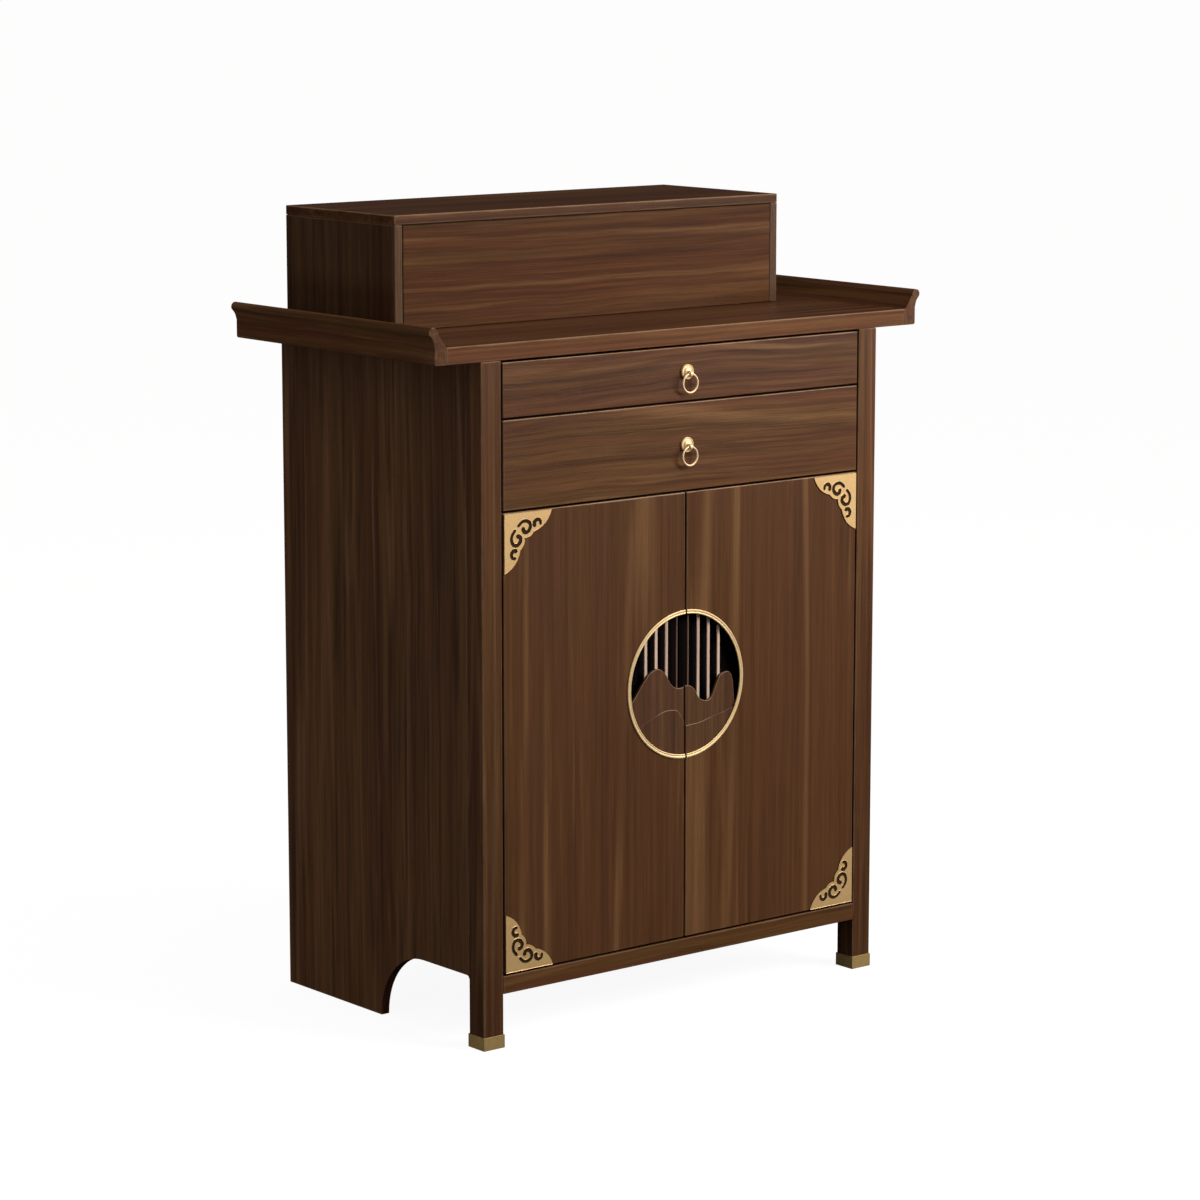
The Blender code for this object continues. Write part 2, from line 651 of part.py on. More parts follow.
def hinge(name, side, hinge_z, material):
    """A concealed hinge: a plate on the post, an arm cranked round behind the door, and its upright pin."""
    wall_x = POST_INNER_X - JOINT
    plate_x = wall_x - HINGE_PLATE_THICKNESS
    inside_plate = wall_x - HINGE_PLATE_THICKNESS / 2
    bar_back = POST_BACK_Y + ARM_WIDTH
    outline = [
        (HINGE_X - ARM_WIDTH / 2, bar_back),
        (inside_plate, bar_back),
        (inside_plate, POST_BACK_Y),
        (HINGE_X + ARM_WIDTH / 2, POST_BACK_Y),
    ]
    outline += arc((HINGE_X, HINGE_Y), ARM_WIDTH / 2, 0.0, -math.pi, 2 * FILLET_STEPS)
    outline = [(side * x, y) for x, y in outline]
    place = (side * HINGE_X, HINGE_Y, hinge_z)
    arm = prism(name, outline, "xy", hinge_z - ARM_THICKNESS / 2, ARM_THICKNESS, place, material)
    near, far = sorted((side * plate_x, side * wall_x))
    low = (near, FRONT_BACK_Y + FRONT_GAP / 2, hinge_z - HINGE_PLATE_HEIGHT / 2)
    high = (far, bar_back + EDGE, hinge_z + HINGE_PLATE_HEIGHT / 2)
    bm, middle = box_mesh(low, high)
    combine(arm, add_piece(name + "_plate", bm, middle), "UNION")
    pin = pin_mesh(PIN_RADIUS, PIN_LENGTH, "Z")
    return combine(arm, add_piece(name + "_pin", pin, place), "UNION")


def window_tray(name, side, material, parent):
    """A blackened half-round tray that lines the opening behind the relief and the slats."""
    back_y = FRONT_BACK_Y - JOINT
    lip_y = FRONT_Y + HILL_RAISE / 2
    middle = (side * WINDOW_RADIUS / 2, FRONT_Y, WINDOW_Z)
    outline = half_circle(side, TRAY_RADIUS)
    tray = prism(name, outline, "xz", lip_y, back_y - lip_y, middle, material, parent)
    hollow = half_circle(side, HOLLOW_RADIUS, edge_x=-FRONT_GAP)
    start = FRONT_Y - FRONT_GAP
    depth = back_y - TRAY_BACK - start
    cutter = prism(name + "_hollow", hollow, "xz", start, depth, middle, None, parent)
    return combine(tray, cutter, "DIFFERENCE")


def under_line(side, line, foot):
    """The part of the door's half disc that lies below a line, which meets the rim at its foot."""
    rim_end = math.acos(-foot)
    start = math.asin(DOOR_INNER_X / INNER_RADIUS)
    rim = []
    for step in range(ROUND_STEPS + 1):
        angle = start + (rim_end - start) * step / ROUND_STEPS
        rim.append((side * INNER_RADIUS * math.sin(angle), -INNER_RADIUS * math.cos(angle)))
    crest = flowing([(x * INNER_RADIUS, z * INNER_RADIUS) for x, z in line])
    crest = [(x, z) for x, z in crest if side * x > DOOR_INNER_X + JOINT]
    crest = [(side * DOOR_INNER_X, line[0][1] * INNER_RADIUS)] + crest
    return [(x, WINDOW_Z + z) for x, z in rim + crest[::-1]]


def window_relief(name, word, side, material, parent):
    """The mountains in the lower part of the window, with a lower hill standing a little in front."""
    middle = (side * WINDOW_RADIUS / 2, FRONT_Y, WINDOW_Z)
    start_y = FRONT_Y + RELIEF_RECESS
    ridge = under_line(side, RIDGES[word], RIDGE_FEET[word])
    piece = prism(name, ridge, "xz", start_y, RELIEF_THICKNESS, middle, material, parent)
    hill = under_line(side, HILLS[word], HILL_FEET[word])
    hill_y = start_y - HILL_RAISE
    hill_piece = prism(name + "_hill", hill, "xz", hill_y, RELIEF_THICKNESS, middle, None, parent)
    return combine(piece, hill_piece, "UNION")


def window_slat(name, side, index, material, parent):
    """An upright slat behind the mountains, cut to the round of the opening at both ends."""
    middle_x = SEAM_SLAT_OFFSET + SLAT_PITCH * index
    half_width = (SLAT_WIDTH if index else SEAM_SLAT_WIDTH) / 2
    start_y = FRONT_Y + RELIEF_RECESS + RELIEF_THICKNESS + JOINT
    edges = [middle_x - half_width, middle_x + half_width]
    tops = [(x, math.sqrt(INNER_RADIUS**2 - x**2)) for x in edges]
    outline = [(side * x, WINDOW_Z + z) for x, z in tops]
    outline += [(side * x, WINDOW_Z - z) for x, z in reversed(tops)]
    place = (side * middle_x, start_y, WINDOW_Z)
    slat = prism(name, outline, "xz", start_y, SLAT_DEPTH, place, material, parent)
    return ease_edges(slat, EDGE / 2)


def window_band(name, side, material, parent):
    """Half of the flat brass ring on the door's face."""
    inner = half_circle(side, WINDOW_RADIUS - BAND_WIDTH)
    outline = half_circle(side, WINDOW_RADIUS) + inner[::-1]
    middle = (side * WINDOW_RADIUS / 2, FRONT_Y, WINDOW_Z)
    start_y = FRONT_Y - JOINT - BAND_THICKNESS
    return prism(name, outline, "xz", start_y, BAND_THICKNESS, middle, material, parent)


def slot_outline(line, half_width):
    """A slot round a line, with round ends and a fuller far end."""
    spots = [Vector(spot) for spot in flowing(line, FLOW_STEPS - 1)]
    left = []
    right = []
    last = len(spots) - 1
    for index, spot in enumerate(spots):
        along = (spots[min(index + 1, last)] - spots[max(index - 1, 0)]).normalized()
        reach = half_width * (SCROLL_TAIL + SCROLL_SWELL * index / last)
        side = Vector((-along.y, along.x)) * reach
        left.append(spot + side)
        right.append(spot - side)
    head = (spots[-1] - spots[-2]).normalized() * half_width
    tail = (spots[0] - spots[1]).normalized() * half_width * SCROLL_TAIL
    outline = left + [spots[-1] + head] + right[::-1] + [spots[0] + tail]
    return [(spot.x, spot.y) for spot in outline]


def mirrored(points):
    """Points mirrored in the corner's diagonal."""
    return [(w, u) for u, w in points]


def corner_plate(name, side, corner_z, up, material, parent):
    """A pierced brass plate on a door's outer corner, mirrored in its own diagonal."""
    end = Vector((PLATE_LEG, 0.0))
    notch = Vector(PLATE_NOTCH) * PLATE_LEG
    cusp = Vector(PLATE_CUSP) * PLATE_LEG
    lobes = bowed(end, notch, END_LOBE_BOW * PLATE_LEG) + bowed(notch, cusp, INNER_LOBE_BOW * PLATE_LEG)
    outline = [(0.0, 0.0)] + lobes + [tuple(cusp)] + mirrored(lobes)[::-1]
    corner_x = DOOR_OUTER_X - PLATE_INSET

    def on_door(points):
        return [(side * (corner_x - u), corner_z + up * w) for u, w in points]

    start_y = FRONT_Y - JOINT - PLATE_THICKNESS
    middle = (side * corner_x, FRONT_Y, corner_z)
    plate = prism(name, on_door(outline), "xz", start_y, PLATE_THICKNESS, middle, material, parent)
    cut_y = start_y - PLATE_THICKNESS
    cut_depth = 3 * PLATE_THICKNESS
    for line in (SCROLL, HOOK):
        slot = slot_outline([(u * PLATE_LEG, w * PLATE_LEG) for u, w in line], SCROLL_SLOT / 2)
        for points in (slot, mirrored(slot)):
            cutter = prism(name + "_cut", on_door(points), "xz", cut_y, cut_depth, middle, None, parent)
            combine(plate, cutter, "DIFFERENCE")
    return plate


def build_door(word, side, wood, dark, slat, metal):
    """One door leaf and what is fixed to it. It turns about its hinge pins."""
    swing = pivot(word + "_door_swing", (side * HINGE_X, HINGE_Y, DOOR_BOTTOM_Z))
    door_board("door_board_" + word, side, wood, swing)
    window_tray("window_tray_" + word, side, dark, swing)
    window_relief("mountain_relief_" + word, word, side, wood, swing)
    for index in range(SLATS_PER_DOOR):
        window_slat(f"window_slat_{word}_{index + 1}", side, index, slat, swing)
    window_band("window_ring_" + word, side, metal, swing)
    corner_plate(f"corner_plate_{word}_lower", side, DOOR_BOTTOM_Z + PLATE_INSET, 1, metal, swing)
    corner_plate(f"corner_plate_{word}_upper", side, DOOR_TOP_Z - PLATE_INSET, -1, metal, swing)
    for level, hinge_z in HINGE_HEIGHTS.items():
        hinge(f"hinge_{word}_{level}", side, hinge_z, metal)


def build_cabinet():
    clear_scene()
    fronts = walnut_front()
    carcass = walnut_carcass()
    surface = walnut_top()
    metal = brass()
    box_wood = drawer_wood()
    dark = blackened_wood()
    slat = pale_slat()
    build_carcass(carcass, metal)
    build_top(surface, fronts)
    build_riser(carcass, surface)
    build_drawer("upper", UPPER_FRONT_Z, UPPER_FRONT_HEIGHT, BODY_HEIGHT, fronts, box_wood, metal)
    build_drawer("lower", LOWER_FRONT_Z, LOWER_FRONT_HEIGHT, DIVIDER_Z, fronts, box_wood, metal)
    for word, side in SIDES.items():
        build_door(word, side, fronts, dark, slat, metal)


build_cabinet()
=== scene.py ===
"""Looks of a walnut altar cabinet with two drawers, a pair of doors round one round window, and brass fittings.
Metres, +Z up. The front faces -Y, and left is -X."""
import math

import bmesh
import bpy
from mathutils import Matrix, Vector


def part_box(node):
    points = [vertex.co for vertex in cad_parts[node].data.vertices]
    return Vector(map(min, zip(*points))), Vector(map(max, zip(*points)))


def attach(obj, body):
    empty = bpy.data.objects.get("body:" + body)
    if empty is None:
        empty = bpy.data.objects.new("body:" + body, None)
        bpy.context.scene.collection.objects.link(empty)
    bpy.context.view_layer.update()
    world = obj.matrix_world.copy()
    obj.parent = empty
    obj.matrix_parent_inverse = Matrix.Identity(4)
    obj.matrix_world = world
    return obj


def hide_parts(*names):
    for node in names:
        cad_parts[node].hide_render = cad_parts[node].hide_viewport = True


# Camera, read from the cabinet's corners in the photograph.
CAMERA_PLACE = Vector((-3.2489, -4.0348, 1.4125))
CAMERA_YAW = 0.68199
CAMERA_PITCH = -0.17153
CAMERA_LENS = 118.2
SENSOR_WIDTH = 36

FLOOR_RADIUS = 160

# Window band: how far in from its rim, and how high off the door, in shares of its width and thickness.
BAND_WIDTH = 0.0056
BAND_PROFILE = ((0, 0), (0, 0.6), (0.05, 0.86), (0.14, 1), (0.40, 1), (0.49, 0.8), (0.57, 0.72), (0.66, 0.8),
                (0.74, 0.96), (0.90, 0.96), (0.97, 0.8), (1, 0.5), (1, 0))
BAND_STEPS = 160

# Rosette: radius in shares of its own, and height.
ROSETTE_PROFILE = ((0, 0), (1, 0), (1, 0.0019), (0.985, 0.0025), (0.945, 0.0028), (0.885, 0.0028), (0.845, 0.0024),
                   (0.82, 0.0020), (0.72, 0.0019), (0.67, 0.0021), (0.63, 0.0029), (0.54, 0.0036), (0.41, 0.0041),
                   (0.23, 0.0044), (0, 0.0045))
# Its staple eye: how far below the middle, outer and inner radius, width, and how far its legs run back.
EYE_DROP = 0.0022
EYE_RADIUS = 0.0038
EYE_HOLE = 0.0021
EYE_WIDTH = 0.0042
EYE_ROOT = 0.0052
ROUND_STEPS = 72
FULL_TURN = 2 * math.pi
WIRE_SIDES = 16

# Corner plates: the rim's width, how deep the field lies inside it, and the rim's longest reach in its own widths.
PLATE_RIM = 0.0004
PLATE_SUNK = 0.00025
LONGEST_RIM = 1.8
# The dark sheet of painted shadow behind each plate: how far it shows round the plate, and how far behind the
# plate's back its own two faces lie.
SHADOW_LINE = 0.0008
SHADOW_FRONT = 0.00004
SHADOW_BACK = 0.00027

# Mountains: the crests' rounding, how far the painted highlight of the hill lines reaches from the seam, and how
# near an edge must be to the seam, the window's rim or the relief's ground to belong to it.
CREST_ROUND = 0.0007
HILL_LINES = {"left": 0.060, "right": 0.046}
SEAM_NEAR = 0.0016
RIM_NEAR = 0.0002
GROUND_NEAR = 0.001

# How deep the tint of a board's front lip goes, and how deep the pores and brush marks look.
LIP_DEPTH = 0.0008
PORE_DEPTH = 0.0002
SCRATCH_DEPTH = 0.0001

SOFT_EDGE = 0.0005
# Edges that bend by more than these are drawn sharp: turned pieces, mouldings and the relief.
SHARP = math.radians(32)
MOULDING_SHARP = math.radians(20)
RELIEF_SHARP = math.radians(10)

# Grain directions: each turns a board's place into across, through and along the grain.
UPRIGHT = (0, 0, 0)
UPRIGHT_SIDE = (0, 0, -90)
LEVEL = (0, 90, 0)
FLAT = (90, 90, 0)
DEEP = (90, 0, 90)

# Walnut tones (linear).
OLIVE_BROWN = (0.100, 0.043, 0.0130, 1)
RED_BROWN = (0.094, 0.032, 0.0125, 1)
DARK_BROWN = (0.050, 0.0175, 0.0070, 1)
TAN_STREAK = (0.205, 0.100, 0.038, 1)
# Painted highlights, with some wear, along the boards' edges, fullest on the upper edges.
EDGE_TAN_HIGHLIGHT = (0.30, 0.175, 0.100, 1)
EDGE_PALE_HIGHLIGHT = (0.46, 0.31, 0.20, 1)
# Painted shade along the riser front's edges, darkest under the riser top.
SEAM_SHADE = (0.014, 0.006, 0.003, 1)
# Painted highlight on the mountains' rounded crests and hill lines.
CREST_HIGHLIGHT = (0.21, 0.125, 0.075, 1)


def add(tree, kind, sockets=None, **settings):
    """A node with its settings, and its sockets set or linked by name or number."""
    node = tree.nodes.new(kind)
    for word, value in settings.items():
        setattr(node, word, value)
    for word, value in (sockets or {}).items():
        if isinstance(value, bpy.types.NodeSocket):
            tree.links.new(value, node.inputs[word])
        else:
            node.inputs[word].default_value = value
    return node


def sum_of(tree, operation, *values, clamp=False):
    """The result of one Math node."""
    node = add(tree, "ShaderNodeMath", dict(enumerate(values)), operation=operation, use_clamp=clamp)
    return node.outputs[0]


def ramp(tree, value, low, high, to_low=0.0, to_high=1.0):
    """The value, eased from one range to another."""
    sockets = {"Value": value, "From Min": low, "From Max": high, "To Min": to_low, "To Max": to_high}
    return add(tree, "ShaderNodeMapRange", sockets, interpolation_type="SMOOTHSTEP").outputs[0]


def blended(tree, share, first, second, blend_type="MIX"):
    """Two colours, mixed by a share."""
    node = add(tree, "ShaderNodeMix", {0: share, 6: first, 7: second}, data_type="RGBA", blend_type=blend_type)
    return node.outputs[2]


def noise(tree, place, scale, detail=2.0, roughness=0.5):
    """Cloudy noise between 0 and 1."""
    sockets = {"Vector": place, "Scale": scale, "Detail": detail, "Roughness": roughness}
    return add(tree, "ShaderNodeTexNoise", sockets).outputs[0]


def stretched(tree, across, through, along, along_share):
    """A place whose last part counts for less, so that a pattern on it runs along the grain."""
    along = sum_of(tree, "MULTIPLY", along, along_share)
    return add(tree, "ShaderNodeCombineXYZ", {0: across, 1: through, 2: along}).outputs[0]


def new_group(name, inputs, outputs):
    """An empty shader node group with its named sockets."""
    group = bpy.data.node_groups.new(name, "ShaderNodeTree")
    for word, value in inputs.items():
        kind = "NodeSocketVector"
        if isinstance(value, float):
            kind = "NodeSocketFloat"
        elif len(value) == 4:
            kind = "NodeSocketColor"
        socket = group.interface.new_socket(name=word, in_out="INPUT", socket_type=kind)
        socket.default_value = value
    for word, kind in outputs.items():
        group.interface.new_socket(name=word, in_out="OUTPUT", socket_type="NodeSocket" + kind)
    return group, add(group, "NodeGroupInput").outputs, add(group, "NodeGroupOutput").inputs


def make_walnut_figure():
    """Broad soft bands, darker and tan streaks, fine lines and pores, all along the third direction."""
    group, given, made = new_group("walnut figure", {
        "Place": (0.0, 0.0, 0.0), "Band Width": 0.03, "Wave": 0.004, "Wave Length": 0.5,
        "Olive": OLIVE_BROWN, "Red": RED_BROWN, "Dark": DARK_BROWN, "Tan": TAN_STREAK,
        "Dark Share": 0.6, "Tan Share": 0.7, "Lines": 0.5, "Fine Lines": 0.4,
    }, {"Color": "Color", "Tone": "Float", "Height": "Float"})
    split = add(group, "ShaderNodeSeparateXYZ", {0: given["Place"]}).outputs
    pace = sum_of(group, "DIVIDE", 1.0, given["Wave Length"])
    # How far the grain swings to the side on its way.
    even = stretched(group, split[0], split[1], split[2], 1.0)
    slow = noise(group, even, pace, 1.0)
    quick = noise(group, even, sum_of(group, "MULTIPLY", pace, 4.3), 1.0)
    bend = sum_of(group, "ADD", sum_of(group, "MULTIPLY", sum_of(group, "SUBTRACT", slow, 0.5), 4.0),
                  sum_of(group, "SUBTRACT", quick, 0.5))
    across = sum_of(group, "MULTIPLY_ADD", bend, given["Wave"], split[0])

    # Broad bands of the two browns.
    broad = stretched(group, across, split[1], split[2], 0.035)
    per_band = sum_of(group, "DIVIDE", 1.0, given["Band Width"])
    bands = noise(group, broad, sum_of(group, "MULTIPLY", per_band, 0.8), 2.0, 0.6)
    color = blended(group, ramp(group, bands, 0.38, 0.62), given["Olive"], given["Red"])

    # Darker streaks.
    streaks = noise(group, broad, sum_of(group, "MULTIPLY", per_band, 1.7), 2.0, 0.55)
    shade = sum_of(group, "MULTIPLY", ramp(group, streaks, 0.50, 0.74), given["Dark Share"])
    color = blended(group, shade, color, given["Dark"])

    # A few well-marked tan streaks that come and go, and narrower ones between them.
    seam = noise(group, broad, sum_of(group, "MULTIPLY", per_band, 0.42), 0.0)
    off = sum_of(group, "ABSOLUTE", sum_of(group, "SUBTRACT", seam, 0.5))
    fade = noise(group, stretched(group, across, split[1], split[2], 0.4), 5.0, 1.0)
    tan = sum_of(group, "MULTIPLY", ramp(group, off, 0.004, 0.040, 1.0, 0.0), ramp(group, fade, 0.30, 0.52))
    color = blended(group, sum_of(group, "MULTIPLY", tan, given["Tan Share"]), color, given["Tan"])
    ribs = noise(group, broad, sum_of(group, "MULTIPLY", per_band, 4.4), 1.0)
    narrow = sum_of(group, "MULTIPLY", ramp(group, ribs, 0.58, 0.74), ramp(group, fade, 0.62, 0.40))
    color = blended(group, sum_of(group, "MULTIPLY", narrow, sum_of(group, "MULTIPLY", given["Tan Share"], 0.55)),
                    color, given["Tan"])

    # Fine lines along the grain, in two widths.
    lines = noise(group, stretched(group, across, split[1], split[2], 0.012), 170.0, 3.0, 0.6)
    fine = noise(group, stretched(group, across, split[1], split[2], 0.015), 760.0, 2.0, 0.6)
    wide_swing = sum_of(group, "MULTIPLY", sum_of(group, "SUBTRACT", lines, 0.5), given["Lines"])
    fine_swing = sum_of(group, "MULTIPLY", sum_of(group, "SUBTRACT", fine, 0.5), given["Fine Lines"])
    light = sum_of(group, "MULTIPLY_ADD", sum_of(group, "ADD", wide_swing, fine_swing), 2.4, 1.0)
    color = blended(group, 1.0, color, add(group, "ShaderNodeCombineXYZ", {0: light, 1: light, 2: light}).outputs[0],
                    "MULTIPLY")

    # Pores.
    pores = noise(group, stretched(group, across, split[1], split[2], 0.03), 1500.0, 1.0)
    dent = ramp(group, pores, 0.60, 0.72)
    color = blended(group, sum_of(group, "MULTIPLY", dent, given["Fine Lines"]), color, given["Dark"])
    group.links.new(color, made["Color"])
    group.links.new(sum_of(group, "MULTIPLY_ADD", bands, 0.5, sum_of(group, "MULTIPLY", lines, 0.5)), made["Tone"])
    group.links.new(sum_of(group, "MULTIPLY_ADD", dent, -1.0, fine), made["Height"])
    return group


def make_painted_edges():
    """How near a point of a box-shaped board is to one of its edges, fullest on the upper ones where the light
    falls: the mask of painted edge highlights, with some wear, or of painted edge shade.
    """
    group, given, made = new_group("painted edge light", {
        "Place": (0.0, 0.0, 0.0), "Middle": (0.0, 0.0, 0.0), "Half Size": (0.1, 0.1, 0.1),
        "Width": 0.002, "Side Share": 0.6, "Lower Share": 0.3,
    }, {"Mask": "Float"})
    offset = add(group, "ShaderNodeVectorMath", {0: given["Place"], 1: given["Middle"]}, operation="SUBTRACT")
    apart = add(group, "ShaderNodeVectorMath", {0: offset.outputs[0]}, operation="ABSOLUTE").outputs[0]
    inward = add(group, "ShaderNodeVectorMath", {0: given["Half Size"], 1: apart}, operation="SUBTRACT").outputs[0]
    x, y, z = add(group, "ShaderNodeSeparateXYZ", {0: inward}).outputs
    lesser, greater = sum_of(group, "MINIMUM", x, y), sum_of(group, "MAXIMUM", x, y)
    second = sum_of(group, "MAXIMUM", lesser, sum_of(group, "MINIMUM", greater, z))
    uneven = noise(group, given["Place"], 26.0, 3.0)
    width = sum_of(group, "MULTIPLY", given["Width"], ramp(group, uneven, 0.3, 0.7, 0.65, 1.35))
    mask = add(group, "ShaderNodeMapRange", {"Value": second, "From Min": sum_of(group, "MULTIPLY", width, 0.25),
                                             "From Max": width, "To Min": 1.0, "To Max": 0.0},
               interpolation_type="SMOOTHSTEP").outputs[0]
    up = add(group, "ShaderNodeSeparateXYZ", {0: offset.outputs[0]}).outputs[2]
    half = add(group, "ShaderNodeSeparateXYZ", {0: given["Half Size"]}).outputs[2]
    reach = sum_of(group, "MULTIPLY", width, 1.5)
    near = [add(group, "ShaderNodeMapRange", {"Value": sum_of(group, word, half, up), "From Min": 0.0,
                                              "From Max": reach, "To Min": 1.0, "To Max": 0.0}).outputs[0]
            for word in ("SUBTRACT", "ADD")]
    share = sum_of(group, "MAXIMUM", near[0], given["Side Share"])
    less = sum_of(group, "SUBTRACT", 1.0, given["Lower Share"])
    share = sum_of(group, "MULTIPLY", share, sum_of(group, "MULTIPLY_ADD", sum_of(group, "MULTIPLY", near[1], less),
                                                    -1.0, 1.0))
    group.links.new(sum_of(group, "MULTIPLY", mask, share), made["Mask"])
    return group


def make_satin_lacquer():
    """Roughness of a satin lacquer: a slow haze, finer mottling, and a little of the wood's own tone."""
    group, given, made = new_group("satin lacquer", {
        "Place": (0.0, 0.0, 0.0), "Roughness": 0.4, "Haze": 0.08, "Tone": 0.5,
    }, {"Roughness": "Float"})
    haze = noise(group, given["Place"], 6.0, 3.0, 0.6)
    mottle = noise(group, given["Place"], 140.0, 2.0, 0.6)
    cloud = sum_of(group, "MULTIPLY_ADD", sum_of(group, "SUBTRACT", mottle, 0.5), 0.4,
                   sum_of(group, "SUBTRACT", haze, 0.5))
    cloud = sum_of(group, "MULTIPLY_ADD", sum_of(group, "SUBTRACT", given["Tone"], 0.5), 0.6, cloud)
    group.links.new(sum_of(group, "MULTIPLY_ADD", cloud, sum_of(group, "MULTIPLY", given["Haze"], 2.0),
                           given["Roughness"]), made["Roughness"])
    return group


def make_satin_metal():
    """Matte brass: slow tarnish, fine speckle, and brush marks along the third direction."""
    group, given, made = new_group("satin metal", {
        "Place": (0.0, 0.0, 0.0), "Clean": (0.8, 0.6, 0.3, 1.0), "Tarnished": (0.4, 0.26, 0.1, 1.0),
        "Tarnish": 0.4, "Speckle": 0.3, "Brush": 0.3, "Roughness": 0.35,
    }, {"Color": "Color", "Roughness": "Float", "Height": "Float"})
    split = add(group, "ShaderNodeSeparateXYZ", {0: given["Place"]}).outputs
    slow = noise(group, given["Place"], 45.0, 4.0, 0.6)
    grit = noise(group, given["Place"], 900.0, 3.0, 0.7)
    brush = noise(group, stretched(group, split[0], split[1], split[2], 0.03), 1400.0, 2.0, 0.6)
    stain = sum_of(group, "MULTIPLY", ramp(group, slow, 0.35, 0.75), given["Tarnish"])
    stain = sum_of(group, "MULTIPLY_ADD", ramp(group, grit, 0.48, 0.66), given["Speckle"], stain)
    stain = sum_of(group, "MULTIPLY_ADD", ramp(group, brush, 0.45, 0.7),
                   sum_of(group, "MULTIPLY", given["Brush"], 0.5), stain, clamp=True)
    group.links.new(blended(group, stain, given["Clean"], given["Tarnished"]), made["Color"])
    group.links.new(sum_of(group, "MULTIPLY_ADD", stain, 0.22, given["Roughness"]), made["Roughness"])
    height = sum_of(group, "MULTIPLY_ADD", brush, given["Brush"], sum_of(group, "MULTIPLY", grit, given["Speckle"]))
    group.links.new(height, made["Height"])
    return group


def new_material(name):
    """A material with its shader and the piece's own place."""
    material = bpy.data.materials.new(name)
    material.use_nodes = True
    tree = material.node_tree
    tree.nodes.clear()
    shader = add(tree, "ShaderNodeBsdfPrincipled")
    add(tree, "ShaderNodeOutputMaterial", {"Surface": shader.outputs[0]})
    return material, tree, shader, add(tree, "ShaderNodeTexCoord").outputs["Object"]


def turned(tree, place, grain, shift):
    """The place, turned so that its third direction runs along the grain, and shifted."""
    turn = tuple(math.radians(angle) for angle in grain)
    return add(tree, "ShaderNodeMapping", {"Vector": place, "Rotation": turn, "Location": shift}).outputs[0]


def walnut(name, low, high, grain, shift, band=0.03, wave=0.004, wave_length=0.5, olive=OLIVE_BROWN, red=RED_BROWN,
           dark=DARK_BROWN, tan=TAN_STREAK, dark_share=0.6, tan_share=0.7, lines=0.5, fine=0.35, rough=0.38,
           haze=0.07, edge=0.0022, edge_share=0.75, side_share=0.6, lower_share=0.3, edge_color=EDGE_TAN_HIGHLIGHT, bump=0.25,
           gloss=0.14, lip=None, foot=None):
    """Lacquered walnut for one board, from its box at rest and the way its grain runs.

    The edge colour paints highlight or shade along its edges, the lip tints its front edge, and the foot darkens it
    more and more toward its lower end as painted shade."""
    material, tree, shader, place = new_material(name)
    shader.inputs["Specular IOR Level"].default_value = gloss
    along = turned(tree, place, grain, shift)
    figure = add(tree, "ShaderNodeGroup", {
        "Place": along, "Band Width": band, "Wave": wave, "Wave Length": wave_length, "Olive": olive, "Red": red,
        "Dark": dark, "Tan": tan, "Dark Share": dark_share, "Tan Share": tan_share, "Lines": lines,
        "Fine Lines": fine,
    }, node_tree=GROUPS["figure"])
    # Painted highlight, with some wear, along the board's edges, or painted shade where the edge colour is dark.
    edge_paint = add(tree, "ShaderNodeGroup", {
        "Place": place, "Middle": (low + high) / 2, "Half Size": (high - low) / 2, "Width": edge,
        "Side Share": side_share, "Lower Share": lower_share,
    }, node_tree=GROUPS["edges"])
    mask = sum_of(tree, "MULTIPLY", edge_paint.outputs["Mask"], edge_share)
    color = figure.outputs["Color"]
    if lip:
        depth = add(tree, "ShaderNodeSeparateXYZ", {0: place}).outputs[1]
        strip = ramp(tree, depth, low.y + LIP_DEPTH, low.y + 1.5 * LIP_DEPTH, 1.0, 0.0)
        color = blended(tree, strip, color, blended(tree, 1.0, color, lip, "MULTIPLY"))
    # Painted shade: the board darkens toward its lower end, where less light falls.
    if foot:
        height = add(tree, "ShaderNodeSeparateXYZ", {0: place}).outputs[2]
        shade_fall = ramp(tree, height, low.z, high.z, 1.0, 0.0)
        color = blended(tree, shade_fall, color, blended(tree, 1.0, color, foot, "MULTIPLY"))
    tree.links.new(blended(tree, mask, color, edge_color), shader.inputs["Base Color"])
    coat = add(tree, "ShaderNodeGroup", {
        "Place": along, "Roughness": rough, "Haze": haze, "Tone": figure.outputs["Tone"],
    }, node_tree=GROUPS["lacquer"])
    tree.links.new(coat.outputs["Roughness"], shader.inputs["Roughness"])
    dents = add(tree, "ShaderNodeBump", {"Height": figure.outputs["Height"], "Strength": bump,
                                         "Distance": PORE_DEPTH})
    tree.links.new(dents.outputs[0], shader.inputs["Normal"])
    return material


def brass(name, clean, tarnished, grain=UPRIGHT, tarnish=0.35, speckle=0.3, brush=0.2, rough=0.42, bump=0.2,
          metal_share=0.6, gloss=0.4):
    """Satin brass, cast or brushed."""
    material, tree, shader, place = new_material(name)
    along = turned(tree, place, grain, (0, 0, 0))
    metal = add(tree, "ShaderNodeGroup", {
        "Place": along, "Clean": clean, "Tarnished": tarnished, "Tarnish": tarnish, "Speckle": speckle,
        "Brush": brush, "Roughness": rough,
    }, node_tree=GROUPS["metal"])
    shader.inputs["Metallic"].default_value = metal_share
    shader.inputs["Specular IOR Level"].default_value = gloss
    tree.links.new(metal.outputs["Color"], shader.inputs["Base Color"])
    tree.links.new(metal.outputs["Roughness"], shader.inputs["Roughness"])
    dents = add(tree, "ShaderNodeBump", {"Height": metal.outputs["Height"], "Strength": bump,
                                         "Distance": SCRATCH_DEPTH})
    tree.links.new(dents.outputs[0], shader.inputs["Normal"])
    return material


